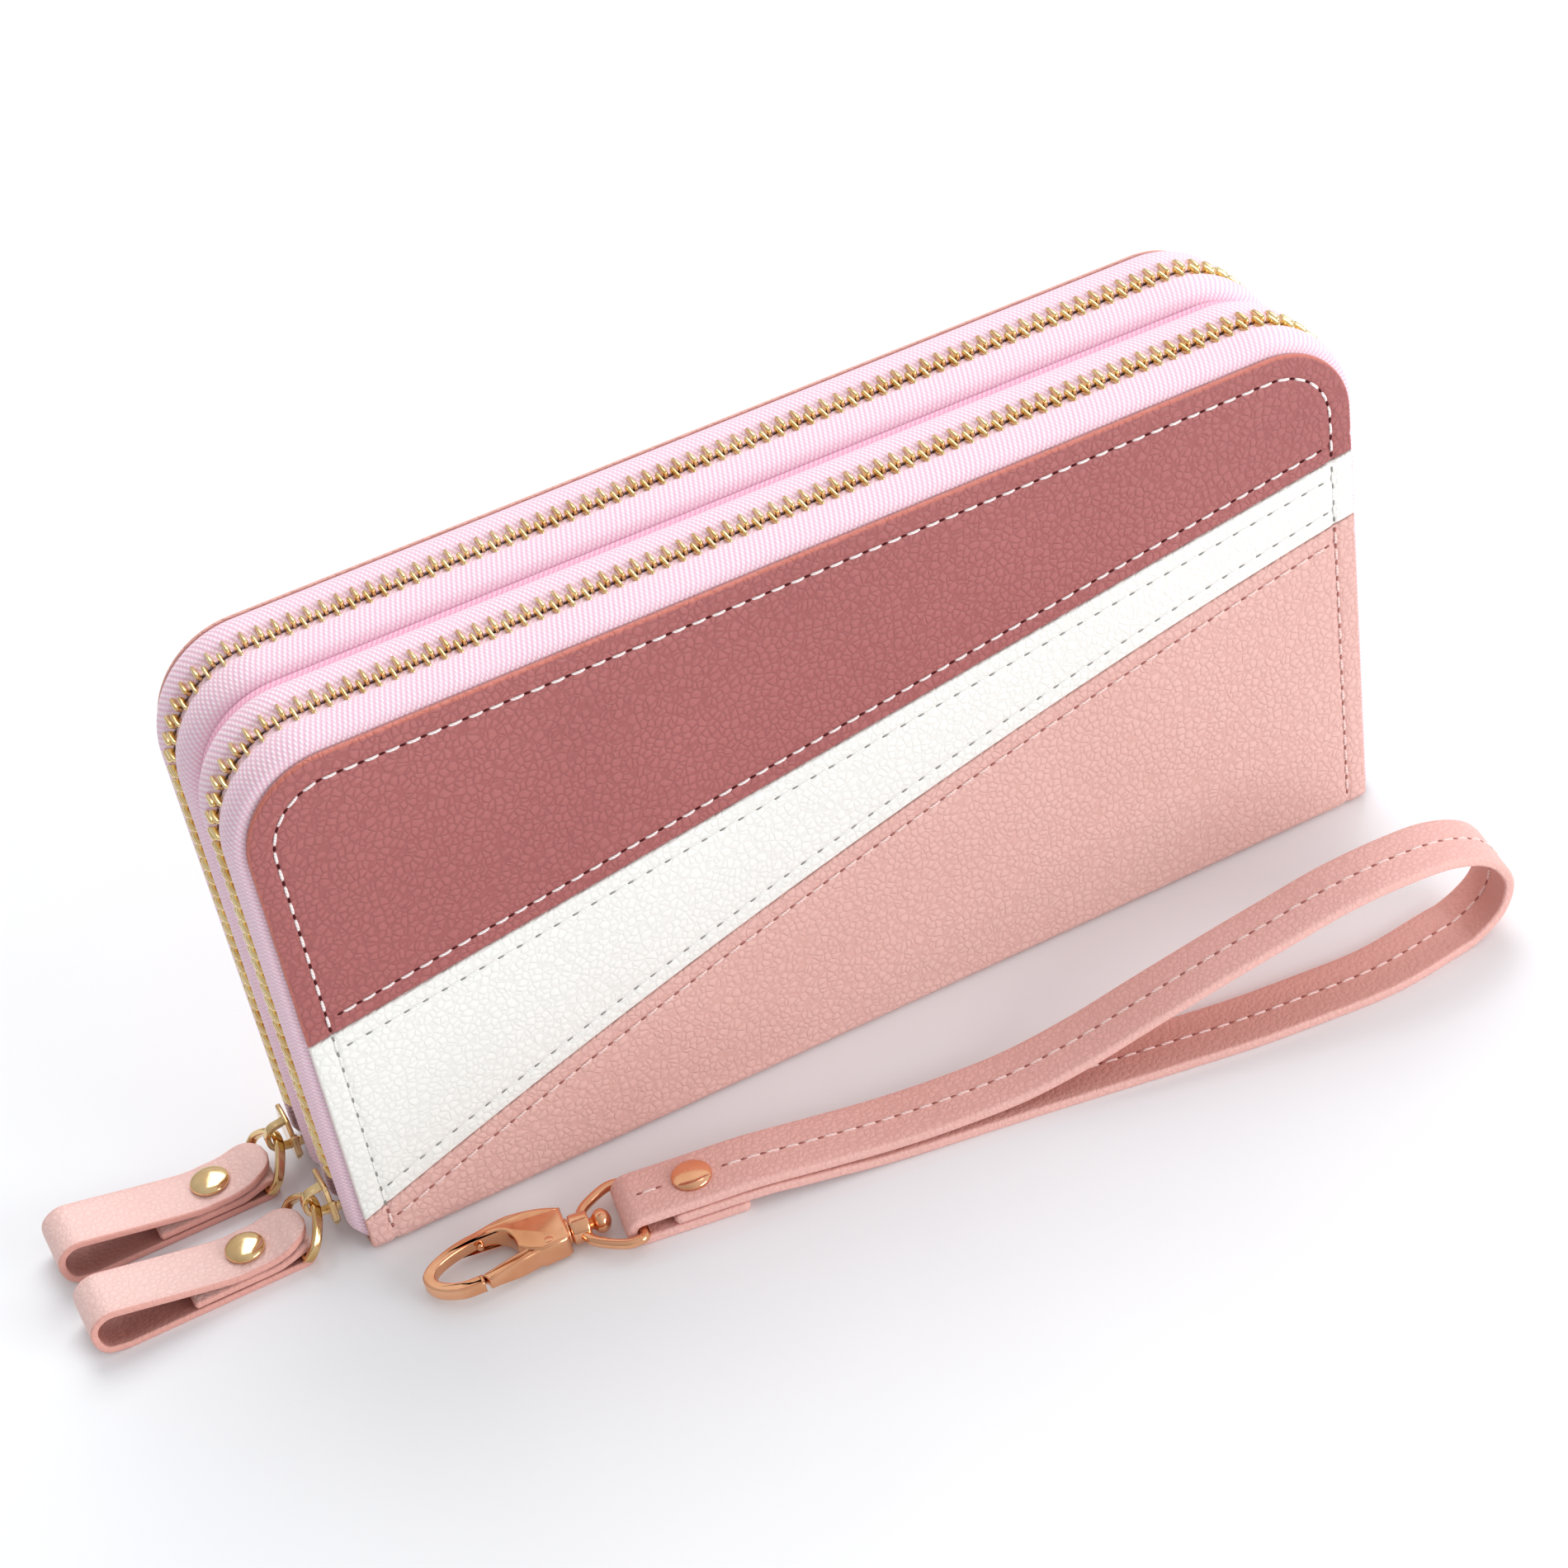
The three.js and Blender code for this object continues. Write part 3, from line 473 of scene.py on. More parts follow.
def metal(name, look):
    finish = Finish(name)
    place = finish.add("TexCoord").outputs["Object"]
    stretch = finish.add("Mapping", {"Vector": place, "Scale": look["brush"]}).outputs[0]
    grain = finish.add("TexNoise", {"Vector": stretch, "Scale": look["grain"], "Detail": 4.0}).outputs["Fac"]
    smudge = finish.add("TexNoise", {"Vector": place, "Scale": 160.0, "Detail": 2.0}).outputs["Fac"]
    tone = finish.blend(finish.ramp(smudge, 0.35, 0.7), colourOf(look["colour"]), colourOf(look["shade"]))
    low, high = look["roughness"]
    rough = finish.ramp(grain, 0.3, 0.7, low, high)
    bump = finish.add("Bump", {"Height": grain, "Strength": look["bump"], "Distance": 0.02 * mm})
    finish.setShader(colour=tone, roughness=rough, normal=bump.outputs[0], metallic=1.0)
    return finish.material


evenBrush = (1, 1, 1)
zipGold = metal("zipGold", dict(colour="#F3DCA6", shade="#E3BE7E", roughness=(0.16, 0.3), bump=0.25,
                                grain=900.0, brush=evenBrush))
# darker than the other golds, partly the bronze-ish tone of the slider and rings and partly painted shade
bronzeAndShadedGold = metal("bronzeAndShadedGold", dict(colour="#E9CB98", shade="#CFA970", roughness=(0.08, 0.18), bump=0.12,
                                  grain=700.0, brush=evenBrush))
rivetGold = metal("rivetGold", dict(colour="#F0D2A0", shade="#D6AC72", roughness=(0.08, 0.16), bump=0.1,
                                    grain=700.0, brush=evenBrush))
roseGold = metal("roseGold", dict(colour="#F0B68F", shade="#DFA076", roughness=(0.08, 0.2), bump=0.15,
                                  grain=600.0, brush=(1, 6, 1)))
springSteel = metal("springSteel", dict(colour="#C9C9C9", shade="#A9A9A9", roughness=(0.2, 0.35),
                                        bump=0.2, grain=900.0, brush=evenBrush))


def greyBoard(name, look):
    finish = Finish(name)
    place = finish.add("TexCoord").outputs["Object"]
    pulp = finish.add("TexNoise", {"Vector": place, "Scale": 700.0, "Detail": 5.0}).outputs["Fac"]
    tone = finish.blend(pulp, colourOf(look["colour"]), colourOf(look["shade"]))
    bump = finish.add("Bump", {"Height": pulp, "Strength": 0.4, "Distance": 0.1 * mm})
    finish.setShader(colour=tone, roughness=finish.ramp(pulp, 0, 1, 0.85, 0.97), normal=bump.outputs[0],
                     specular=0.1)
    return finish.material


boardStock = greyBoard("boardStock", dict(colour="#BDB6AC", shade="#A39B90"))
print("materials made")


cover = dict(thickness=1.3, edge=0.45, puff=0.25, puffOver=2.2, foldRadius=1.9, foldEnd=15.6,
             grooveDepth=0.26, grooveWidth=0.6, rimInset=4.2, seamInset=3.4, gap=0.12, backGrow=0.9,
             bendFrom=2.6, bendTo=2.2)
patch = dict(left=48.3, right=77.8)
stripe = dict(left=7.5, right=64.5, bow=5.7)


def patchEdge(x):
    return patch["left"] + (patch["right"] - patch["left"]) * (x + halfLength) / (2 * halfLength)


def stripeEdge(x):
    t = (x + halfLength) / (2 * halfLength)
    middle = (stripe["left"] + stripe["right"]) / 2 + 2 * stripe["bow"]
    return (1 - t) ** 2 * stripe["left"] + 2 * t * (1 - t) * middle + t**2 * stripe["right"]


def rimTop(x, inset=0.0):
    side = halfLength - inset
    radius = max(cornerRadius - inset, 1.0)
    over = np.clip(np.abs(x) - (side - radius), 0, radius)
    return height - inset - radius + np.sqrt(np.maximum(radius**2 - over**2, 0))


# distance in from the cover's outer edge, sides and top
def fromRim(x, z, inset=0.0):
    side = halfLength - inset
    radius = max(cornerRadius - inset, 1.0)
    dx = np.abs(x) - (side - radius)
    dz = z - (height - inset - radius)
    inCorner = (dx > 0) & (dz > 0)
    return np.where(inCorner, radius - np.hypot(dx, dz), np.minimum(side - np.abs(x), height - inset - z))


# rows or columns close together near both ends, where edges and stitch grooves need them
nearEdge = np.array([0, 0.05, 0.13, 0.24, 0.38, 0.6, 1.0, 1.6, 2.2, 2.7, 3.0, 3.25, 3.5, 3.75, 4.0, 4.25,
                     4.5, 4.8, 5.2, 5.8, 6.6, 7.6])


def closeAtEnds(low, high, spacing):
    size = high - low
    near = nearEdge * np.minimum(1, size * 0.48 / nearEdge[-1])
    inner = max(2, int((size - 2 * near[-1]) / spacing) + 1)
    middle = np.linspace(low + near[-1], high - near[-1], inner + 2)[1:-1]
    return np.concatenate([low + near, middle, (high - near)[::-1]])


# where a point of the cover lies; below foldRadius the leather turns under the base
def coverPlace(x, run, out, side):
    radius = cover["foldRadius"]
    under = np.maximum(radius - run, 0)
    angle = np.minimum(under / radius, math.pi / 2)
    level = np.maximum(under - radius * math.pi / 2, 0)
    z = np.where(under > 0, radius - (radius + out) * np.sin(angle), run)
    y = np.where(under > 0, baseHalf - radius + (radius + out) * np.cos(angle) - level, baseHalf + out)
    return np.stack([x, side * (y + coverLean * np.maximum(z, 0)), z], -1)


# one closed leather panel between two edges given as functions of x
def coverPanel(name, side, low, high, seams, look, material, grow=0.0):
    xs = closeAtEnds(-halfLength - grow, halfLength + grow, 1.0)
    lows = low(xs)
    highs = high(xs)
    rows = len(closeAtEnds(0, float((highs - lows).max()), 1.0))
    runs = np.empty((rows, len(xs)))
    for column, (bottom, top) in enumerate(zip(lows, highs)):
        size = max(top - bottom, 0.01)
        edge = nearEdge * min(1, size * 0.48 / nearEdge[-1])
        middle = np.linspace(bottom + edge[-1], top - edge[-1], rows - 2 * len(nearEdge) + 2)[1:-1]
        runs[:, column] = np.concatenate([bottom + edge, middle, (top - edge)[::-1]])
    x = np.broadcast_to(xs, runs.shape)
    slopeLow = np.gradient(lows, xs)
    slopeHigh = np.gradient(highs, xs)
    rim = fromRim(x, runs, -grow)
    fromLow = (runs - lows) / np.sqrt(1 + slopeLow**2)
    fromHigh = (highs - runs) / np.sqrt(1 + slopeHigh**2)
    inset = np.minimum(np.minimum(fromLow, fromHigh), np.maximum(rim, 0))
    inset = np.maximum(inset, 0)
    radius = look["edge"]
    bend = np.clip(radius - inset, 0, radius)
    out = -(radius - np.sqrt(np.maximum(radius**2 - bend**2, 0)))
    out = out + look["puff"] * (1 - np.exp(-inset / look["puffOver"])) - look["puff"]
    for seam in seams:
        gap = seam(x, runs)
        out = out - look["grooveDepth"] * np.exp(-(gap / look["grooveWidth"]) ** 2)
    front = coverPlace(x, runs, out, side)
    inside = coverPlace(x, runs, np.full_like(out, -look["thickness"]), side)
    edge = smoothStep(1 - (rim - 0.1) / 0.3) * (runs > 0.5)
    count = rows * len(xs)
    points = np.vstack([front.reshape(-1, 3), inside.reshape(-1, 3)])
    faces, border = sheetFaces(rows, len(xs))
    edges = np.concatenate([edge.ravel(), edge.ravel()])
    inner = np.concatenate([np.zeros(count), np.ones(count)])
    inner[border] = 0
    return makePiece(name, points, faces, material, edge=edges, inner=inner)


# how far a point lies from the seam round the rim, and from one beside an edge
def rimSeam(x, z):
    return fromRim(x, z) - cover["rimInset"]


def seamAlong(edge, inset):
    def distance(x, z):
        slope = edge(x + 0.5) - edge(x - 0.5)
        return (z - edge(x)) / np.sqrt(1 + slope**2) - inset
    return distance


foldStart = cover["foldRadius"] * (1 - math.pi / 2) - (baseHalf - cover["foldRadius"] - cover["foldEnd"])
gap = cover["gap"]
seamInset = cover["seamInset"]


# where the leather ends under the base
def underEdge(x):
    return np.full_like(x, foldStart)


lowerPanel = coverPanel("lowerPanel", -1, underEdge, lambda x: stripeEdge(x) - gap,
                        [rimSeam, seamAlong(stripeEdge, -seamInset)], cover, pinkLeather)
middleStripe = coverPanel("middleStripe", -1, lambda x: stripeEdge(x) + gap, lambda x: patchEdge(x) - gap,
                          [rimSeam, seamAlong(stripeEdge, seamInset), seamAlong(patchEdge, -seamInset)],
                          cover, whiteLeather)
upperPatch = coverPanel("upperPatch", -1, lambda x: patchEdge(x) + gap, rimTop,
                        [rimSeam, seamAlong(patchEdge, seamInset)], cover, mauveLeather)
backPanel = coverPanel("backPanel", 1, underEdge, lambda x: rimTop(x, -cover["backGrow"]), [rimSeam], cover,
                       pinkLeather, cover["backGrow"])
for panel, node, slotName in ((middleStripe, "front_middle_stripe", "white_leather"),
                              (upperPatch, "front_upper_patch", "mauve_leather")):
    assign(panel, "front_cover", node)
for panel, node, body, side in ((lowerPanel, "front_lower_panel", "front_cover", -1),
                                (backPanel, "back_panel", "back_cover", 1)):
    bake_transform(panel)
    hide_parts(node)
print("cover panels made")


stitch = dict(pitch=3.5, dash=2.35, radius=0.27, flat=0.75, lift=0.2, sunk=0.06, holeLong=0.55,
              holeWide=0.26, holeRim=0.03, holeMiddle=0.07, holeDeep=0.25, holeSides=9)
whiteStitch = dict(stitch, radius=0.22, lift=0.05, holeLong=0.6, holeWide=0.2)


# threads, and dark spots of painted shade for the needle holes, along a path on a surface whose outward side
# is given
def stitchRow(path, outward, look):
    along = lengthAlong(path)
    count = int(along[-1] / look["pitch"])
    start = (along[-1] - count * look["pitch"]) / 2
    heading = unit(np.gradient(path, axis=0))
    outward = np.broadcast_to(outward, path.shape)
    sides = look["holeSides"]
    angles = np.linspace(0, 2 * math.pi, sides, endpoint=False)
    stations = np.array([-1, -0.94, -0.75, -0.4, 0, 0.4, 0.75, 0.94, 1.0])  # along half a dash
    threads = []
    holes = []

    def at(place, values):
        return np.array([np.interp(place, along, values[:, axis]) for axis in range(3)])

    for index in range(count + 1):
        place = start + index * look["pitch"]
        normal = unit(at(place, outward))
        forward = unit(at(place, heading))
        beside = np.cross(normal, forward)
        rim = (at(place, path) + normal * look["holeRim"]
               + look["holeLong"] * np.cos(angles)[:, None] * forward
               + look["holeWide"] * np.sin(angles)[:, None] * beside)
        middle = at(place, path) + normal * look["holeMiddle"]
        low = at(place, path) - normal * look["holeDeep"]
        points = np.vstack([rim, middle, low])
        faces = []
        for corner in range(sides):
            beyond = (corner + 1) % sides
            faces.append((corner, beyond, sides))
            faces.append((beyond, corner, sides + 1))
        holes.append((points, faces))
        if index == count:
            break
        centre = place + look["pitch"] / 2
        spine = np.array([at(centre + s * look["dash"] / 2, path) for s in stations])
        normal = unit(at(centre, outward))
        rise = look["lift"] * (1 - stations**2) - look["sunk"]
        radii = look["radius"] * np.sqrt(np.maximum(1 - stations**6, 0.02))
        section = roundSection(1, 8, look["flat"])[None] * radii[:, None, None]
        side = np.cross(normal, unit(at(centre, heading)))
        threads.append(sweep(spine + normal * rise[:, None], side, section))
    return threads, holes


def onCover(x, z, side):
    return np.stack([x, side * (baseHalf + coverLean * z - cover["grooveDepth"]), z], -1)


def coverNormal(side):
    return unit(np.array([0, side, -coverLean]))


# the seam set in from the cover's sides and top, as x and z
def rimSeamPath(inset):
    side = halfLength - inset
    radius = cornerRadius - inset
    left = arc((-side + radius, height - inset - radius), radius, 180, 90, 16)
    right = arc((side - radius, height - inset - radius), radius, 90, 0, 16)
    return np.vstack([[(-side, 3.0)], left, right, [(side, 3.0)]])


def sewn(name, rows, threadMaterial, holeShadeMaterial, body, look=stitch):
    threads = []
    holes = []
    for path, outward in rows:
        rowThreads, rowHoles = stitchRow(path, outward, look)
        threads += rowThreads
        holes += rowHoles
    threadPiece = makePiece(name + "Thread", *together(threads), threadMaterial)
    holeShadePiece = makePiece(name + "HoleShades", *together(holes), holeShadeMaterial)
    for piece in (threadPiece, holeShadePiece):
        assign(piece, body)


def coverRow(points, side=-1):
    path = evenly(np.asarray(points, float), 0.5)
    return onCover(path[:, 0], path[:, 1], side), coverNormal(side)


def edgeRow(edge, inset):
    reach = halfLength - cover["rimInset"] - 1.5  # stops short of the seam round the rim
    xs = np.linspace(-reach, reach, 60)
    slope = edge(xs + 0.5) - edge(xs - 0.5)
    return coverRow(np.stack([xs, edge(xs) + inset * np.sqrt(1 + slope**2)], 1))


rimPath = evenly(rimSeamPath(cover["rimInset"]), 0.4)
inMauve = rimPath[:, 1] > patchEdge(rimPath[:, 0])
inPink = rimPath[:, 1] <= stripeEdge(rimPath[:, 0])
inWhite = ~inMauve & ~inPink
onLeft = rimPath[:, 0] < 0
sewn("patchSeam", [coverRow(rimPath[inMauve]), edgeRow(patchEdge, seamInset)],
     whiteThread, mauveHoleShade, "front_cover")
sewn("stripeSeam", [coverRow(rimPath[inWhite & onLeft]), coverRow(rimPath[inWhite & ~onLeft]),
                    edgeRow(patchEdge, -seamInset), edgeRow(stripeEdge, seamInset)],
     greyThread, whiteHoleShade, "front_cover", whiteStitch)
sewn("lowerSeam", [coverRow(rimPath[inPink & onLeft]), coverRow(rimPath[inPink & ~onLeft]),
                   edgeRow(stripeEdge, -seamInset)],
     pinkThread, pinkHoleShade, "front_cover")
sewn("backSeam", [coverRow(rimPath, 1)], pinkThread, pinkHoleShade, "back_cover")
print("stitching made")


zipLook = dict(rise=1.85, toothPitch=2.75, toothLong=0.8, toothReach=3.15, toothTip=-0.55, toothHigh=0.85,
               tapeThick=0.6, tapeStep=1.0, start=2.2, end=2.1, taper=5.0, teethStart=13.6, teethEnd=5.0,
               outerFoot=(17.0, -1.2), innerFoot=(2.0, -1.2), middleFoot=(0, -1.2))


# base points, outward directions and distance along the covers' rim, from the left foot to the right
def rimStations(start, end, step):
    side = halfLength - cornerRadius
    top = height - cornerRadius
    path = np.vstack([[(-halfLength, start)], arc((-side, top), cornerRadius, 180, 90, 24),
                      arc((side, top), cornerRadius, 90, 0, 24), [(halfLength, end)]])
    path = evenly(path, step)
    heading = unit(np.gradient(path, axis=0))
    outward = np.stack([-heading[:, 1], heading[:, 0]], 1)
    return path, outward, lengthAlong(path)


# upright at the divider, half the covers' lean under the teeth, and the covers' own lean at their legs
def leanAt(y):
    divider = 2.3
    inner = 6.4
    outer = 12.6
    legs = baseHalf - 2.4
    if y <= chainY:
        return chainLean * float(np.clip((y - divider) / (inner - divider), 0, 1))
    return chainLean + (coverLean - chainLean) * float(np.clip((y - outer) / (legs - outer), 0, 1))


# a profile of (depth, rise) carried round the rim; at the left it closes towards its foot
def rimStrip(name, profile, side, foot, material):
    base, outward, along = rimStations(zipLook["start"], zipLook["end"], zipLook["tapeStep"])
    profile = np.asarray(profile, float)
    opened = smoothStep((along + 2.0) / zipLook["taper"])[:, None]
    ys = foot[0] + (profile[None, :, 0] - foot[0]) * opened
    rises = foot[1] + (profile[None, :, 1] - foot[1]) * opened
    leans = np.array([leanAt(y) for y in profile[:, 0]])
    x = base[:, :1] + rises * outward[:, :1]
    z = base[:, 1:] + rises * outward[:, 1:]
    points = np.stack([x, side * (ys + leans * z), z], -1)
    faces = tubeFaces(len(base), len(profile))
    across = np.concatenate([[0], np.cumsum(np.linalg.norm(np.diff(profile, axis=0), axis=1))])
    places = np.stack(np.broadcast_arrays(along[:, None], across[None], 0.0), -1).reshape(-1, 3)
    return makePiece(name, points.reshape(-1, 3), faces, material, along=places)


def tapeProfile(top, thick):
    top = throughPoints(top, 5)
    heading = unit(np.gradient(top, axis=0))
    inward = np.stack([heading[:, 1], -heading[:, 0]], 1)
    if inward[len(inward) // 2, 1] > 0:
        inward = -inward
    return np.vstack([top, (top + inward * thick)[::-1]])


# how far back and how high each tape's top face runs, from its leg to the teeth
outerTop = [(17.35, -6.0), (17.4, -2.5), (17.35, -0.4), (16.75, 1.2), (15.2, 2.15), (13.8, 2.3),
            (12.55, 2.05), (11.4, 1.45), (9.9, 1.25)]
innerTop = [(1.55, -4.0), (1.5, -0.6), (2.3, 1.2), (3.6, 2.1), (5.0, 2.3), (6.45, 2.05),
            (7.6, 1.45), (9.1, 1.25)]
outerTape = tapeProfile(outerTop, zipLook["tapeThick"])
innerTape = tapeProfile(innerTop, zipLook["tapeThick"])


def tooth(look):
    long = look["toothLong"] / 2
    high = look["toothHigh"]
    section = np.array([(-0.85 * long, -high), (0.85 * long, -high), (long, -0.2 * high),
                        (0.95 * long, 0.5 * high), (0.6 * long, 0.9 * high), (0, high),
                        (-0.6 * long, 0.9 * high), (-0.95 * long, 0.5 * high), (-long, -0.2 * high)])
    # reach across the gap, then shares of the section's width and height
    stations = [(look["toothReach"], 0.55, 0.35), (look["toothReach"] - 0.2, 0.72, 0.65),
                (look["toothReach"] - 0.6, 0.78, 0.9), (1.7, 0.78, 0.95), (1.1, 1.05, 1.0), (0.1, 1.15, 1.0),
                (look["toothTip"] + 0.25, 1.0, 0.9), (look["toothTip"], 0.6, 0.6)]
    rings = [np.column_stack([section[:, 0] * wide, np.full(len(section), reach), section[:, 1] * tall])
             for reach, wide, tall in stations]
    return np.vstack(rings), tubeFaces(len(stations), len(section))


# one row of teeth; towards is +1 for the row on the cover's tape and -1 for the divider's
def teethRow(name, side, towards, body, node):
    look = zipLook
    base, outward, along = rimStations(look["teethStart"], look["teethEnd"], 0.5)
    shape, shapeFaces = tooth(look)
    first = look["toothPitch"] * (0.25 if towards > 0 else 0.75)
    places = np.arange(first, along[-1], look["toothPitch"])
    teeth = []
    for place in places:
        centre = np.array([np.interp(place, along, base[:, axis]) for axis in range(2)])
        normal = unit(np.array([np.interp(place, along, outward[:, axis]) for axis in range(2)]))
        heading = np.array([normal[1], -normal[0]])
        spot = centre + normal * look["rise"]
        y = side * (chainY + chainLean * spot[1])
        points = np.column_stack([
            spot[0] + shape[:, 0] * heading[0] + shape[:, 2] * normal[0],
            y + side * towards * shape[:, 1],
            spot[1] + shape[:, 0] * heading[1] + shape[:, 2] * normal[1]])
        teeth.append((points, shapeFaces))
    piece = makePiece(name, *together(teeth), zipGold)
    assign(piece, body, node)


for prefix, side, coverBody in (("front", -1, "front_cover"), ("rear", 1, "back_cover")):
    outer = rimStrip(prefix + "OuterTape", outerTape, side, zipLook["outerFoot"], zipTape)
    inner = rimStrip(prefix + "InnerTape", innerTape, side, zipLook["innerFoot"], zipTape)
    assign(outer, coverBody, prefix + "_outer_tape")
    assign(inner, "wallet_core", prefix + "_inner_tape")
    teethRow(prefix + "OuterTeeth", side, 1, coverBody, prefix + "_outer_teeth")
    teethRow(prefix + "InnerTeeth", side, -1, "wallet_core", prefix + "_inner_teeth")

# a deep pink strip of painted shade, standing for the shadow in the valley between the two zips
valleyShadeProfile = [(-1.3, -1.6), (-1.3, -0.2), (-0.7, 0.25), (0, 0.05), (0.7, 0.25), (1.3, -0.2), (1.3, -1.6)]
valleyShadeStrip = rimStrip("middleValleyShade", valleyShadeProfile, 1, zipLook["middleFoot"], valleyShadeTape)
assign(valleyShadeStrip, "wallet_core")
print("zips made")


slider = dict(long=9.0, wide=7.6, waist=1.0, taper=2.5, corner=1.2, plate=0.9, inner=1.45, bevel=0.3,
              neck=1.0, bridgeLong=6.2, bridgeWide=1.6, bridgeWire=1.0, bridgeOut=3.4)


def sliderOutline(look):
    half = look["wide"] / 2
    end = look["long"] / 2
    waist = half - look["waist"]
    points = [(-half, -end + 2.2), (-half + 0.5, -end + 0.7), (-half + look["corner"] + 0.4, -end),
              (0, -end - 0.1), (half - look["corner"] - 0.4, -end), (half - 0.5, -end + 0.7),
              (half, -end + 2.2), (half, 0), (half - 0.25, end - look["taper"]), (waist, end - 0.3),
              (waist - 0.4, end), (0, end + 0.1), (-waist + 0.4, end), (-waist, end - 0.3),
              (-half + 0.25, end - look["taper"]), (-half, 0)]
    return throughPoints(points + points[:1], 4)[:-1]


# outline across (y, z), thickness along x
yzx = np.array([[0, 0, 1], [1, 0, 0], [0, 1, 0]])


def makeSlider(prefix):
    look = slider
    outline = sliderOutline(look)
    reach = look["inner"] + look["plate"]
    outerPlate = moved(bevelledPlate(outline, -reach, -look["inner"], look["bevel"]), turn=yzx)
    innerPlate = moved(bevelledPlate(outline, look["inner"], reach, look["bevel"]), turn=yzx)
    neck = sweep([(-1.7, 0, -3.0), (0, 0, -3.0), (1.7, 0, -3.0)], (0, 1, 0),
                 softSection(look["neck"] / 4, 1.0, 0.2, 3, 2))
    parts = [outerPlate, innerPlate, neck]
    half = look["wide"] / 2
    for way in (-1, 1):
        path = [(-1.75, way * (half - 0.28), z) for z in np.linspace(-3.0, 1.6, 8)]
        parts.append(sweep(path, (0, 1, 0), softSection(0.25, 0.6, 0.2, 3, 1)))
    end = look["bridgeLong"] / 2 - look["bridgeWire"] / 2
    arch = throughPoints([(0.4, -end - 0.3), (-0.8, -end), (-2.3, -end + 0.3), (-3.2, -end + 1.4),
                          (-look["bridgeOut"], 0), (-3.2, end - 1.4), (-2.3, end - 0.3), (-0.8, end),
                          (0.4, end + 0.3)], 6)
    path = np.stack([arch[:, 0] - reach, np.zeros(len(arch)), arch[:, 1]], 1)
    bridge = softSection(look["bridgeWide"] / 2, look["bridgeWire"] / 2, 0.25, 3, 2)
    parts.append(sweep(path, (0, 1, 0), bridge))
    ring = jointAt(prefix + "_ring_swing")
    centre = (-(halfLength + zipLook["rise"]), ring[1], ring[2])
    piece = makePiece(prefix + "Slider", *moved(together(parts), centre), bronzeAndShadedGold)
    assign(piece, prefix + "_slider", prefix + "_slider")


pullRing = dict(wide=13.1, bandWide=1.7, bandThick=1.15, bandEdge=0.4, corner=0.9)


def makePullRing(prefix):
    look = pullRing
    hinge = jointAt(prefix + "_ring_swing")
    bar = jointAt(prefix + "_pull_swing")
    depth = float(np.hypot(hinge[0] - bar[0], hinge[2] - bar[2]))
    half = look["wide"] / 2
    corner = look["corner"]
    bow = throughPoints([(-depth + 1.2, -half), (-4.4, -half + 0.15), (-1.9, -4.3), (-0.4, -2.0), (0, 0),
                         (-0.4, 2.0), (-1.9, 4.3), (-4.4, half - 0.15), (-depth + 1.2, half)], 6)[1:-1]
    flat = np.vstack([arc((-depth + corner, -half + corner), corner, 180, 270, 5), bow,
                      arc((-depth + corner, half - corner), corner, 90, 180, 5)])
    flat = evenly(np.vstack([flat, flat[:1]]), 0.45)[:-1]
    path = np.column_stack([flat, np.zeros(len(flat))])
    band = softSection(look["bandWide"] / 2, look["bandThick"] / 2, look["bandEdge"], 3, 2)
    part = sweep(path, (0, 0, 1), band, True)
    tilt = -math.degrees(math.atan2(hinge[2] - bar[2], hinge[0] - bar[0]))
    piece = makePiece(prefix + "PullRing", *moved(part, hinge, turnAbout("Y", tilt)), bronzeAndShadedGold)
    assign(piece, prefix + "_ring", prefix + "_pull_ring")


# a leather band on a path with rounded edges; its first end may be round in plan
def leatherBand(path, across, width, thick, radius, roundStart=False):
    along = lengthAlong(path)
    fromStart = along
    fromEnd = along[-1] - along
    half = np.full(len(path), width / 2)
    if roundStart:
        reach = np.clip(width / 2 - fromStart, 0, width / 2)
        half = np.sqrt(np.maximum((width / 2) ** 2 - reach**2, 0.15**2))
    end = np.minimum(fromStart, fromEnd)
    inset = radius - np.sqrt(np.maximum(radius**2 - np.clip(radius - end, 0, radius) ** 2, 0))
    sections = []
    for reach, less in zip(half, inset):
        wide = max(reach - less, 0.12)
        tall = thick / 2 - less * 0.9
        sections.append(softSection(wide, tall, min(radius, tall * 0.95, wide * 0.9)))
    section = np.array(sections)
    points, faces = sweep(path, across, section)
    edge = smoothStep((np.abs(section[..., 0]) - (half[:, None] - 0.5)) / 0.3)
    edge = np.maximum(edge, smoothStep((0.5 - end) / 0.3)[:, None])
    return points, faces, edge.ravel(), section[..., 1].ravel() > 0


pull = dict(leather=1.3, wide=11.0, gap=0.3, play=0.15, wire=1.4, flap=2.4, rivetAt=8.5, fold=20.0,
            long=37.6, high=8.4, edge=0.42, rivetCap=3.5, rivetDome=1.35)


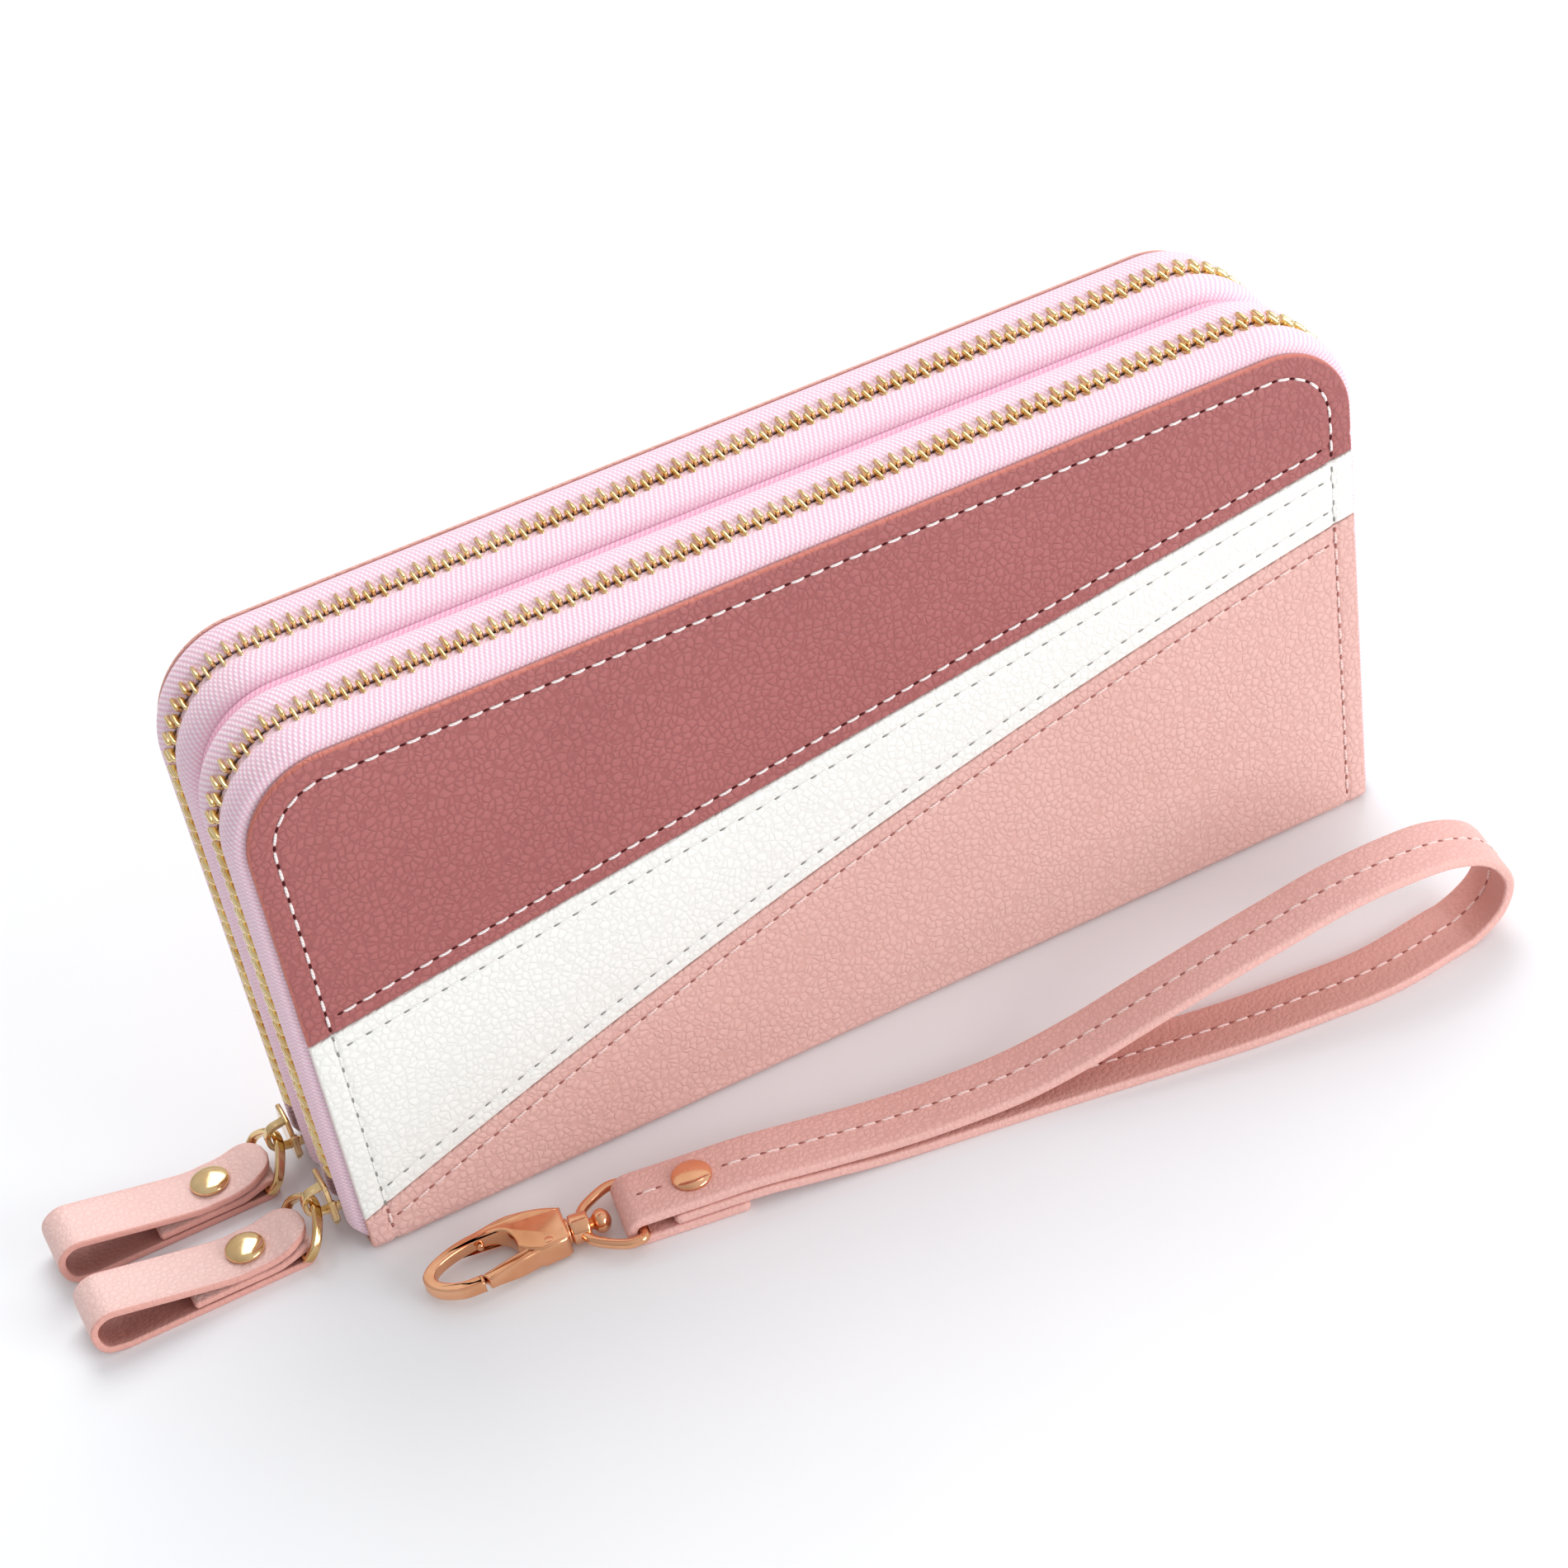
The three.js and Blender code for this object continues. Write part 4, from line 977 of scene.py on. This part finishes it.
def pullPath(look):
    barZ = look["leather"] + look["play"] + look["wire"] / 2
    half = look["leather"] / 2
    pitch = look["leather"] + look["gap"]
    wrap = look["play"] + look["wire"] / 2 + half
    inner = pitch + half
    stack = inner + pitch
    flapZ = barZ + wrap + pitch
    end = -look["long"]
    upper = throughPoints([
        (look["flap"], flapZ), (-0.4, flapZ - 0.02), (-3, stack + 0.62), (-look["rivetAt"] + 3, stack + 0.06),
        (-look["rivetAt"], stack), (-look["rivetAt"] - 4, stack + 0.1), (end + 15.6, stack + 2.1),
        (end + 7, look["high"] - 0.5), (end + 3.6, look["high"]), (end + 1.2, look["high"] - 1.4),
        (end + half, look["high"] - 4), (end + 1.9, 1.6), (end + 5.5, half)], 10)
    lower = np.array([(x, half) for x in np.linspace(end + 6.5, -1.0, 24)])
    around = arc((0, barZ), wrap, -90, 90, 12)
    back = throughPoints([(-1.4, inner + 1), (-3.4, inner + 0.35), (-look["rivetAt"] + 3, inner),
                          (-look["rivetAt"] - 4, inner), (-look["fold"], inner)], 8)
    return np.vstack([upper, lower, around, back]), barZ


def domedRivet(cap, low, seat, dome):
    rim = 0.35
    foot = 3.0
    shank = 1.2
    head = [(cap * math.cos(a) ** 0.8, seat + rim + (dome - rim) * math.sin(a))
            for a in np.radians(np.linspace(0, 88, 12))]
    profile = [(0.05, low), (foot, low), (foot, low + 0.6), (shank, low + 0.65), (shank, seat),
               (cap - 0.15, seat), (cap, seat + 0.12)] + head + [(0.05, seat + dome)]
    return turned(profile)


def makePull(prefix):
    look = pull
    flat, barZ = pullPath(look)
    origin = jointAt(prefix + "_pull_swing")
    flat = evenly(flat, 0.4)
    path = np.column_stack([origin[0] + flat[:, 0], np.full(len(flat), origin[1]),
                            origin[2] - barZ + flat[:, 1]])
    # the path starts on top and runs back, so the band's first side faces inwards
    points, faces, edge, outside = leatherBand(path, (0, -1, 0), look["wide"], look["leather"],
                                               look["edge"], True)
    # the faces inside the loop take the dark inner colour as painted shade
    piece = makePiece(prefix + "Pull", points, faces, pullLeather, edge=edge,
                      inner=np.where(outside, 1.0, 0.0) * (1 - edge))
    low, high = boxOf(prefix + "_pull_rivet")
    centre = (low + high) / 2
    dome = look["rivetDome"]
    rivet = moved(domedRivet(look["rivetCap"], low[2], high[2] - dome, dome), (centre[0], centre[1], 0))
    rivetPiece = makePiece(prefix + "PullRivet", *rivet, rivetGold)
    assign(piece, prefix + "_pull", prefix + "_pull_leather")
    assign(rivetPiece, prefix + "_pull", prefix + "_pull_rivet")


for prefix in ("front", "rear"):
    makeSlider(prefix)
    makePullRing(prefix)
    makePull(prefix)
print("sliders and pulls made")


strap = dict(leather=1.9, wide=12.0, gap=0.2, foldAt=-10.4, tail=8.0, loopEnd=151.0, peak=22.9,
             edge=0.6, rivetCap=3.5, rivetDome=1.3, seamFrom=39, seamBefore=30, endSeam=(25.5, 30.5))
strapAlong = unit(np.array(joints["clasp_swivel"]["axis"]))
strapAcross = np.array([-strapAlong[1], strapAlong[0], 0])
rivetLow, rivetHigh = boxOf("strap_rivet")
strapOrigin = (rivetLow + rivetHigh) / 2 * np.array([1, 1, 0])


def strapPath(look):
    low = look["leather"] / 2
    pitch = look["leather"] + look["gap"]
    mid = low + pitch
    high = mid + pitch
    end = look["loopEnd"] - low
    peak = look["peak"]
    tail = look["tail"]
    lead = np.array([(x, low) for x in np.linspace(tail, look["foldAt"] + 1, 16)])
    around = arc((look["foldAt"], mid), pitch, -90, -270, 16)
    upper = throughPoints([
        (look["foldAt"] + 2, high), (0, high), (tail + 2, high), (tail + 14, high - 0.9),
        (34, mid + 0.45), (46, mid + 0.5), (58, mid + 1.5), (end - 80, mid + 4.35),
        (end - 68, peak - 11.5), (end - 56, peak - 7.7), (end - 44, peak - 4.3), (end - 32, peak - 1.1),
        (end - 22, peak), (end - 12, peak - 1.3), (end - 4, peak - 5.5), (end, peak - 12.1),
        (end - 1.6, 5), (end - 7, 1.6), (end - 14, low), (end - 40, low), (tail + 34, low),
        (tail + 14, low + 1.1), (tail + 2, mid), (look["foldAt"] + 5.4, mid)], 12)
    return np.vstack([lead, around, upper])


flatStrap = evenly(strapPath(strap), 0.6)
strapRun = lengthAlong(flatStrap)
peakRun = strapRun[np.argmax(flatStrap[:, 1])]
loopRun = strapRun[np.argmax(flatStrap[:, 0])]
# the loop doesn't lie straight: its far end swings back and the lower strand bows forward
swingRuns = [0, peakRun - 40, peakRun, loopRun, loopRun + 12, loopRun + 30, loopRun + 55, loopRun + 95,
             strapRun[-1]]
swing = np.interp(strapRun, swingRuns, [0, 0, 0.8, 7.0, 5.2, -0.4, -1.8, -0.6, 0])
kernel = np.hanning(41)
swing = np.convolve(np.pad(swing, 20, mode="edge"), kernel / kernel.sum(), mode="valid")
strapLine = (strapOrigin + flatStrap[:, :1] * strapAlong + np.array([0, 0, 1]) * flatStrap[:, 1:]
             + swing[:, None] * strapAcross)
points, faces, edge, outside = leatherBand(strapLine, -strapAcross, strap["wide"], strap["leather"],
                                           strap["edge"])
wristStrap = makePiece("wristStrap", points, faces, strapLeather, edge=edge * 0.6,
                       inner=np.where(outside, 0.0, 1.0) * (1 - edge))
assign(wristStrap, "strap", "wrist_strap")

dome = strap["rivetDome"]
strapRivet = moved(domedRivet(strap["rivetCap"], rivetLow[2], rivetHigh[2] - dome, dome), strapOrigin)
strapRivetPiece = makePiece("strapRivet", *strapRivet, roseGold)
assign(strapRivetPiece, "strap", "strap_rivet")

# stitches down the middle of the strap on both faces, and a short row at its end
heading = unit(np.gradient(strapLine, axis=0))
outward = np.cross(-strapAcross, heading)
strapStitch = dict(stitch, pitch=3.4, dash=2.3, radius=0.26, lift=0.12)
outerRun = (strapRun > strap["seamFrom"]) & (strapRun < strapRun[-1] - strap["seamBefore"])
endRun = (strapRun > strap["endSeam"][0]) & (strapRun < strap["endSeam"][1])
for name, run, way in (("strapSeam", outerRun, 1), ("strapSeamInside", outerRun, -1),
                       ("strapEndSeam", endRun, 1)):
    surface = strapLine + outward * way * (strap["leather"] / 2 + 0.02)
    threads, holes = stitchRow(surface[run], outward[run] * way, strapStitch)
    for suffix, parts, material in (("Thread", threads, pinkThread), ("HoleShades", holes, pinkHoleShade)):
        piece = makePiece(name + suffix, *together(parts), material)
        assign(piece, "strap")
print("strap made")


clasp = dict(ringWire=1.8, ringSide=0.3, ringDeep=9.8, ringCorner=0.9, collar=2.6, collarLong=3.4,
             post=1.0, head=2.1, thick=4.4, bevel=0.6, pinBack=3.5, pinSide=-2.6, gateLong=12.0,
             gateBar=2.1, tipBack=11.6, tipSide=2.6)
claspTurn = np.stack([strapAlong, strapAcross, [0, 0, 1]], 1)
claspAt = jointAt("clasp_swivel")
collarHalf = clasp["collarLong"] / 2


def inClasp(part):
    return moved(part, claspAt, claspTurn)


def makeClaspRing(look):
    half = (strap["wide"] + 2 * look["ringSide"] + look["ringWire"]) / 2
    deep = look["ringDeep"]
    curve = throughPoints([(deep - 0.6, -half), (deep - 3.2, -half - 0.1), (3.4, -half + 1.6),
                           (1.0, -half + 3.8), (0, 0), (1.0, half - 3.8), (3.4, half - 1.6),
                           (deep - 3.2, half + 0.1), (deep - 0.6, half)], 8)
    corner = look["ringCorner"]
    corners = np.vstack([curve, arc((deep - corner, half - corner), corner, 90, 0, 5),
                         arc((deep - corner, -half + corner), corner, 0, -90, 5)])
    loop = evenly(np.vstack([corners, corners[:1]]), 0.5)[:-1]
    path = np.column_stack([loop, np.zeros(len(loop))])
    wire = sweep(path, (0, 0, 1), roundSection(look["ringWire"] / 2, 16), True)
    out = look["collar"]
    profile = [(1.2, -collarHalf), (out - 0.5, -collarHalf), (out - 0.12, -collarHalf + 0.12),
               (out, -collarHalf + 0.5), (out, collarHalf - 0.5), (out - 0.12, collarHalf - 0.12),
               (out - 0.5, collarHalf), (1.2, collarHalf)]
    collar = moved(turned(profile, 32), turn=turnAbout("Y", 90))
    return together([wire, collar])


claspRing = makePiece("claspRing", *inClasp(makeClaspRing(clasp)), roseGold)
assign(claspRing, "strap_ring", "clasp_ring")

hookEnd = -collarHalf - 0.5
pinX = hookEnd - clasp["pinBack"]
gateTurn = math.atan2(clasp["tipSide"], clasp["tipBack"])
tipX = pinX - clasp["gateLong"] * math.cos(gateTurn)
tipY = clasp["pinSide"] - clasp["gateLong"] * math.sin(gateTurn)


def hookOutline():
    outer = throughPoints([(hookEnd, 4.2), (hookEnd - 3.5, 5.6), (hookEnd - 8, 6.3), (hookEnd - 13, 6.1),
                           (hookEnd - 18.5, 4.8), (hookEnd - 23.4, 2.0), (hookEnd - 25.2, -1.2),
                           (hookEnd - 23.6, -4.5), (hookEnd - 19.6, tipY - 1.2), (tipX - 0.4, tipY - 1.2)], 8)
    inner = throughPoints([(tipX - 0.4, tipY + 1.0), (hookEnd - 19.4, -4.3), (hookEnd - 22.2, -3.0),
                           (hookEnd - 23.1, -1.1), (hookEnd - 21.7, 1.0), (hookEnd - 17.9, 2.9),
                           (hookEnd - 13, 3.9), (hookEnd - 10.2, 3.0), (hookEnd - 8.9, 0.8),
                           (hookEnd - 8.7, -1.6)], 8)
    foot = np.array([(hookEnd - 7.6, -2.9), (hookEnd - 5.0, -4.3), (hookEnd - 0.8, -3.7), (hookEnd, -3.1)])
    return np.vstack([outer, inner, foot])


# the arms are thinner than the block at the swivel end
def slimmed(part):
    points, faces = part
    thin = 1 - 0.45 * smoothStep((hookEnd - 8.4 - points[:, :1]) / 7)
    return points * np.hstack([np.ones((len(points), 2)), thin]), faces


def makeHook(look):
    half = look["thick"] / 2
    body = slimmed(bevelledPlate(hookOutline(), -half, half, look["bevel"]))
    headX = collarHalf + 0.35 + look["head"] * 0.8
    profile = [(0.05, hookEnd - 0.4), (look["post"], hookEnd - 0.4),
               (look["post"], headX - look["head"] * 0.8)]
    profile += [(look["head"] * math.sin(a), headX - 0.8 * look["head"] * math.cos(a))
                for a in np.radians(np.linspace(36, 178, 16))]
    post = moved(turned(profile, 24), turn=turnAbout("Y", 90))
    washer = moved(turned([(1.0, hookEnd - 0.1), (2.1, hookEnd - 0.1), (2.3, hookEnd + 0.1),
                           (2.1, hookEnd + 0.4), (1.0, hookEnd + 0.4)], 24), turn=turnAbout("Y", 90))
    peg = moved(turned([(0.05, 0), (0.55, 0), (0.7, 0.2), (0.7, 1.5), (0.5, 1.75), (0.05, 1.8)], 16),
                (hookEnd - 14.5, 4.4, 0), turnAbout("X", 90))
    return together([body, post, washer, peg])


def makeGate(look):
    half = look["gateBar"] / 2
    long = look["gateLong"]
    outline = throughPoints([(-long + 0.25, -half), (-long * 0.5, -half - 0.1), (-3, -half), (0.2, -half),
                             (1.1, -half * 0.4), (1.1, half * 0.4), (0.2, half), (-3, half),
                             (-long * 0.5, half - 0.1), (-long + 0.25, half), (-long + 0.05, 0),
                             (-long + 0.25, -half)], 5)[:-1]
    thick = look["thick"] / 2 - 0.25
    bar = bevelledPlate(outline, -thick, thick, 0.45)
    return slimmed(moved(bar, (pinX, look["pinSide"], 0), turnAbout("Z", math.degrees(gateTurn))))


def makePin(look):
    half = look["thick"] / 2
    profile = [(0.05, -half - 0.05), (0.75, -half - 0.05), (0.95, -half + 0.1), (0.6, -half + 0.2),
               (0.6, half - 0.2), (0.95, half - 0.1), (0.75, half + 0.05), (0.05, half + 0.05)]
    return moved(turned(profile, 20), (pinX, look["pinSide"], 0))


def makeSpring(look):
    turns = 3.5
    radius = 1.05
    angles = np.linspace(0, turns * 2 * math.pi, 90)
    path = np.column_stack([radius * np.cos(angles), radius * np.sin(angles), np.linspace(-0.6, 0.6, 90)])
    coil = sweep(path, (0, 0, 1), roundSection(0.16, 8))
    return moved(coil, (pinX, look["pinSide"], -look["thick"] / 2 + 1.6))


for name, part, material, body, node, slotName in (
        ("claspHook", makeHook(clasp), roseGold, "clasp", "clasp_hook", "rose_gold"),
        ("claspGatePin", makePin(clasp), roseGold, "clasp", "clasp_gate_pin", "rose_gold"),
        ("claspSpring", makeSpring(clasp), springSteel, "clasp", "clasp_gate_spring", "spring_steel"),
        ("claspGate", makeGate(clasp), roseGold, "gate", "clasp_gate", "rose_gold")):
    piece = makePiece(name, *inClasp(part), material)
    assign(piece, body, node)
print("clasp made")


inside = dict(rimInset=1.2, boardInset=6.5, dividerInset=1.0, hem=0.1, slotHem=0.08, coinPitch=1.1,
              coinPlate=1.0, coinTab=0.8)


# a flat cloth or board layer with soft edges and a stitched-down hem; it may lean with its cover
def flatLayer(name, node, body, material, lean, inset=None, hem=0.0):
    low, high = boxOf(node)
    xs = closeAtEnds(low[0], high[0], 3.0)
    tops = rimTop(xs, inset) if inset is not None else np.full(len(xs), high[2])
    if inset is not None:
        tops = np.where(np.abs(xs) > high[0] - 1e-6, high[2] - (cornerRadius - inset), tops)
    rows = np.linspace(0, 1, 40)
    rows = smoothStep(rows) * 0.5 + rows * 0.5
    z = low[2] + (tops - low[2]) * rows[:, None]
    x = np.broadcast_to(xs, z.shape)
    side = 1 if low[1] + high[1] > 0 else -1
    if lean:
        inner = min(abs(low[1]), abs(high[1])) - (coverLean * low[2])
        outer = max(abs(low[1]), abs(high[1])) - (coverLean * high[2])
        mid = (inner + outer) / 2
        thick = outer - inner
        y = side * (mid + coverLean * z)
    else:
        mid = (low[1] + high[1]) / 2
        thick = high[1] - low[1]
        y = np.full_like(z, mid)
    distance = np.minimum(np.minimum(x - low[0], high[0] - x), np.minimum(z - low[2], tops - z))
    share = distance / (thick / 2)
    half = thick / 2 * np.sqrt(np.clip(share, 0.02, 1) * (2 - np.clip(share, 0, 1)))
    half = np.maximum(half - hem * np.exp(-((distance - 2.0) / 0.4) ** 2), 0.02)
    points = np.vstack([np.stack([x, y - half, z], -1).reshape(-1, 3),
                        np.stack([x, y + half, z], -1).reshape(-1, 3)])
    faces = sheetFaces(len(rows), len(xs))[0]
    places = np.stack([x, z, np.zeros_like(x)], -1).reshape(-1, 3)
    piece = makePiece(name, points, faces, material, along=np.vstack([places, places]))
    assign(piece, body, node)


for prefix, body in (("front", "front_cover"), ("back", "back_cover")):
    flatLayer(prefix + "Board", prefix + "_board", body, boardStock, True, inside["boardInset"])
    flatLayer(prefix + "Lining", prefix + "_lining", body, liningCloth, True, inside["rimInset"])
    for number in (1, 2, 3):
        flatLayer(f"{prefix}CardSlot{number}", f"{prefix}_card_slot_{number}", body, liningCloth,
                  True, None, inside["slotHem"])
for name, node, material, slotName, inset in (
        ("centreDivider", "center_divider", liningCloth, "lining", inside["dividerInset"]),
        ("coinPocket", "coin_pocket_panel", liningCloth, "lining", None),
        ("coinZipTape", "coin_zip_tape", zipTape, "zip_tape", None),
        ("slipPocket", "slip_pocket_panel", liningCloth, "lining", None)):
    flatLayer(name, node, "wallet_core", material, False, inset, inside["hem"])

spineLow, spineHigh = boxOf("base_spine")
spinePath = np.array([(x, 0, spineHigh[2] / 2) for x in np.linspace(spineLow[0], spineHigh[0], 60)])
points, faces = sweep(spinePath, (0, 1, 0), softSection(spineHigh[1], spineHigh[2] / 2, 0.4, 4, 14))
baseSpine = makePiece("baseSpine", points, faces, pinkLeather)
assign(baseSpine, "wallet_core", "base_spine")

coinLow, coinHigh = boxOf("coin_zip_teeth")
teeth = []
coinY = (coinLow[1] + coinHigh[1]) / 2
coinZ = (coinLow[2] + coinHigh[2]) / 2
for index, x in enumerate(np.arange(coinLow[0] + 1, coinHigh[0] - 1, inside["coinPitch"])):
    way = 1 if index % 2 else -1
    path = [(x, coinY, coinZ + way * reach) for reach in (-0.6, 0.2, 1.2, 1.9)]
    teeth.append(sweep(path, (1, 0, 0), softSection(0.38, 0.5, 0.18, 2, 1)))
coinTeeth = makePiece("coinZipTeeth", *together(teeth), zipGold)
assign(coinTeeth, "wallet_core", "coin_zip_teeth")

sliderLow, sliderHigh = boxOf("coin_zip_slider")
middleX = (sliderLow[0] + sliderHigh[0]) / 2
plateOutline = throughPoints([(-3.8, -1.6), (-2.8, -2.8), (0, -3), (3.2, -2.2), (4, 0), (3.2, 2.2), (0, 3),
                              (-2.8, 2.8), (-3.8, 1.6), (-3.8, -1.6)], 5)[:-1]
# outline across (x, z), thickness along y
xzy = np.array([[1, 0, 0], [0, 0, 1], [0, 1, 0]])
plate = bevelledPlate(plateOutline, 0, inside["coinPlate"], 0.3)
plate = moved(plate, (middleX, coinLow[1] - 1.3, coinZ), xzy)
tabOutline = throughPoints([(-1.5, 1.2), (-1.9, -3), (-1.6, -10.5), (0, -11.8), (1.6, -10.5), (1.9, -3),
                            (1.5, 1.2), (0, 1.5), (-1.5, 1.2)], 6)[:-1]
tab = bevelledPlate(tabOutline, 0, inside["coinTab"], 0.25)
tab = moved(tab, (middleX, sliderLow[1] + 0.05, coinZ), xzy)
coinSlider = makePiece("coinZipSlider", *together([plate, tab]), bronzeAndShadedGold)
assign(coinSlider, "coin_slider", "coin_zip_slider")
print("inside made")


studio = dict(floor=2.4, floorColours=("#F2F4F7", "#F5F7F9"), sky=0.86, dark=0.54, horizon=0.72,
              sideways=(-0.8, 0.7), upwards=(0.02, 0.4), tint=(0.985, 0.985, 1.0, 1),
              key=7.0, keyAt=(0.25, 0.55, 0.95), keySize=(0.8, 0.8),
              fill=6.2, fillAt=(0.6, -0.9, 0.33), fillSize=(0.7, 0.5), lens=76.52, sensor=36,
              cameraAt=(-156.98, -432.44, 393.38), cameraRight=(0.8847, -0.4387, -0.1575),
              cameraForward=(0.2635, 0.7495, -0.6074))

floorMesh = bpy.data.meshes.new("floor")
reach = studio["floor"]
floorMesh.from_pydata([(-reach, -reach, 0), (reach, -reach, 0), (reach, reach, 0), (-reach, reach, 0)], [],
                      [(0, 1, 2, 3)])
floor = bpy.data.objects.new("floor", floorMesh)
bpy.context.scene.collection.objects.link(floor)
floorFinish = Finish("paleFloor")
floorPlace = floorFinish.add("TexCoord").outputs["Object"]
floorGrain = floorFinish.add("TexNoise", {"Vector": floorPlace, "Scale": 30.0}).outputs["Fac"]
floorTone = floorFinish.blend(floorGrain, *[colourOf(colour) for colour in studio["floorColours"]])
floorFinish.setShader(colour=floorTone, roughness=0.9, specular=0.1)
floorMesh.materials.append(floorFinish.material)

# a white room, darker towards the left and near the horizon
world = bpy.data.worlds.new("studio")
bpy.context.scene.world = world
room = NodeTree(world)
direction = room.add("TexCoord").outputs["Generated"]
apart = room.add("SeparateXYZ", {0: direction})
leftToRight = room.ramp(apart.outputs[0], *studio["sideways"], studio["dark"], studio["sky"], smooth=True)
upward = room.ramp(apart.outputs[2], *studio["upwards"], studio["horizon"], 1.0, smooth=True)
room.links.new(room.math("MULTIPLY", leftToRight, upward), room.nodes["Background"].inputs["Strength"])
room.nodes["Background"].inputs["Color"].default_value = studio["tint"]


# a rectangular lamp facing the wallet
def softLight(name, place, size, power):
    data = bpy.data.lights.new(name, "AREA")
    data.shape = "RECTANGLE"
    data.size = size[0]
    data.size_y = size[1]
    data.energy = power
    light = bpy.data.objects.new(name, data)
    bpy.context.scene.collection.objects.link(light)
    light.location = place
    light.rotation_euler = (-Vector(place)).to_track_quat("-Z", "Y").to_euler()


softLight("keyLight", studio["keyAt"], studio["keySize"], studio["key"])
softLight("fillLight", studio["fillAt"], studio["fillSize"], studio["fill"])

cameraData = bpy.data.cameras.new("camera")
cameraData.lens = studio["lens"]
cameraData.sensor_width = studio["sensor"]
camera = bpy.data.objects.new("camera", cameraData)
bpy.context.scene.collection.objects.link(camera)
right = Vector(studio["cameraRight"]).normalized()
forward = Vector(studio["cameraForward"]).normalized()
up = right.cross(forward).normalized()
right = forward.cross(up).normalized()
camera.matrix_world = Matrix((right, up, -forward)).transposed().to_4x4()
camera.location = Vector(studio["cameraAt"]) * mm
bpy.context.scene.camera = camera
bpy.context.scene.view_settings.view_transform = "Standard"
print("studio made")
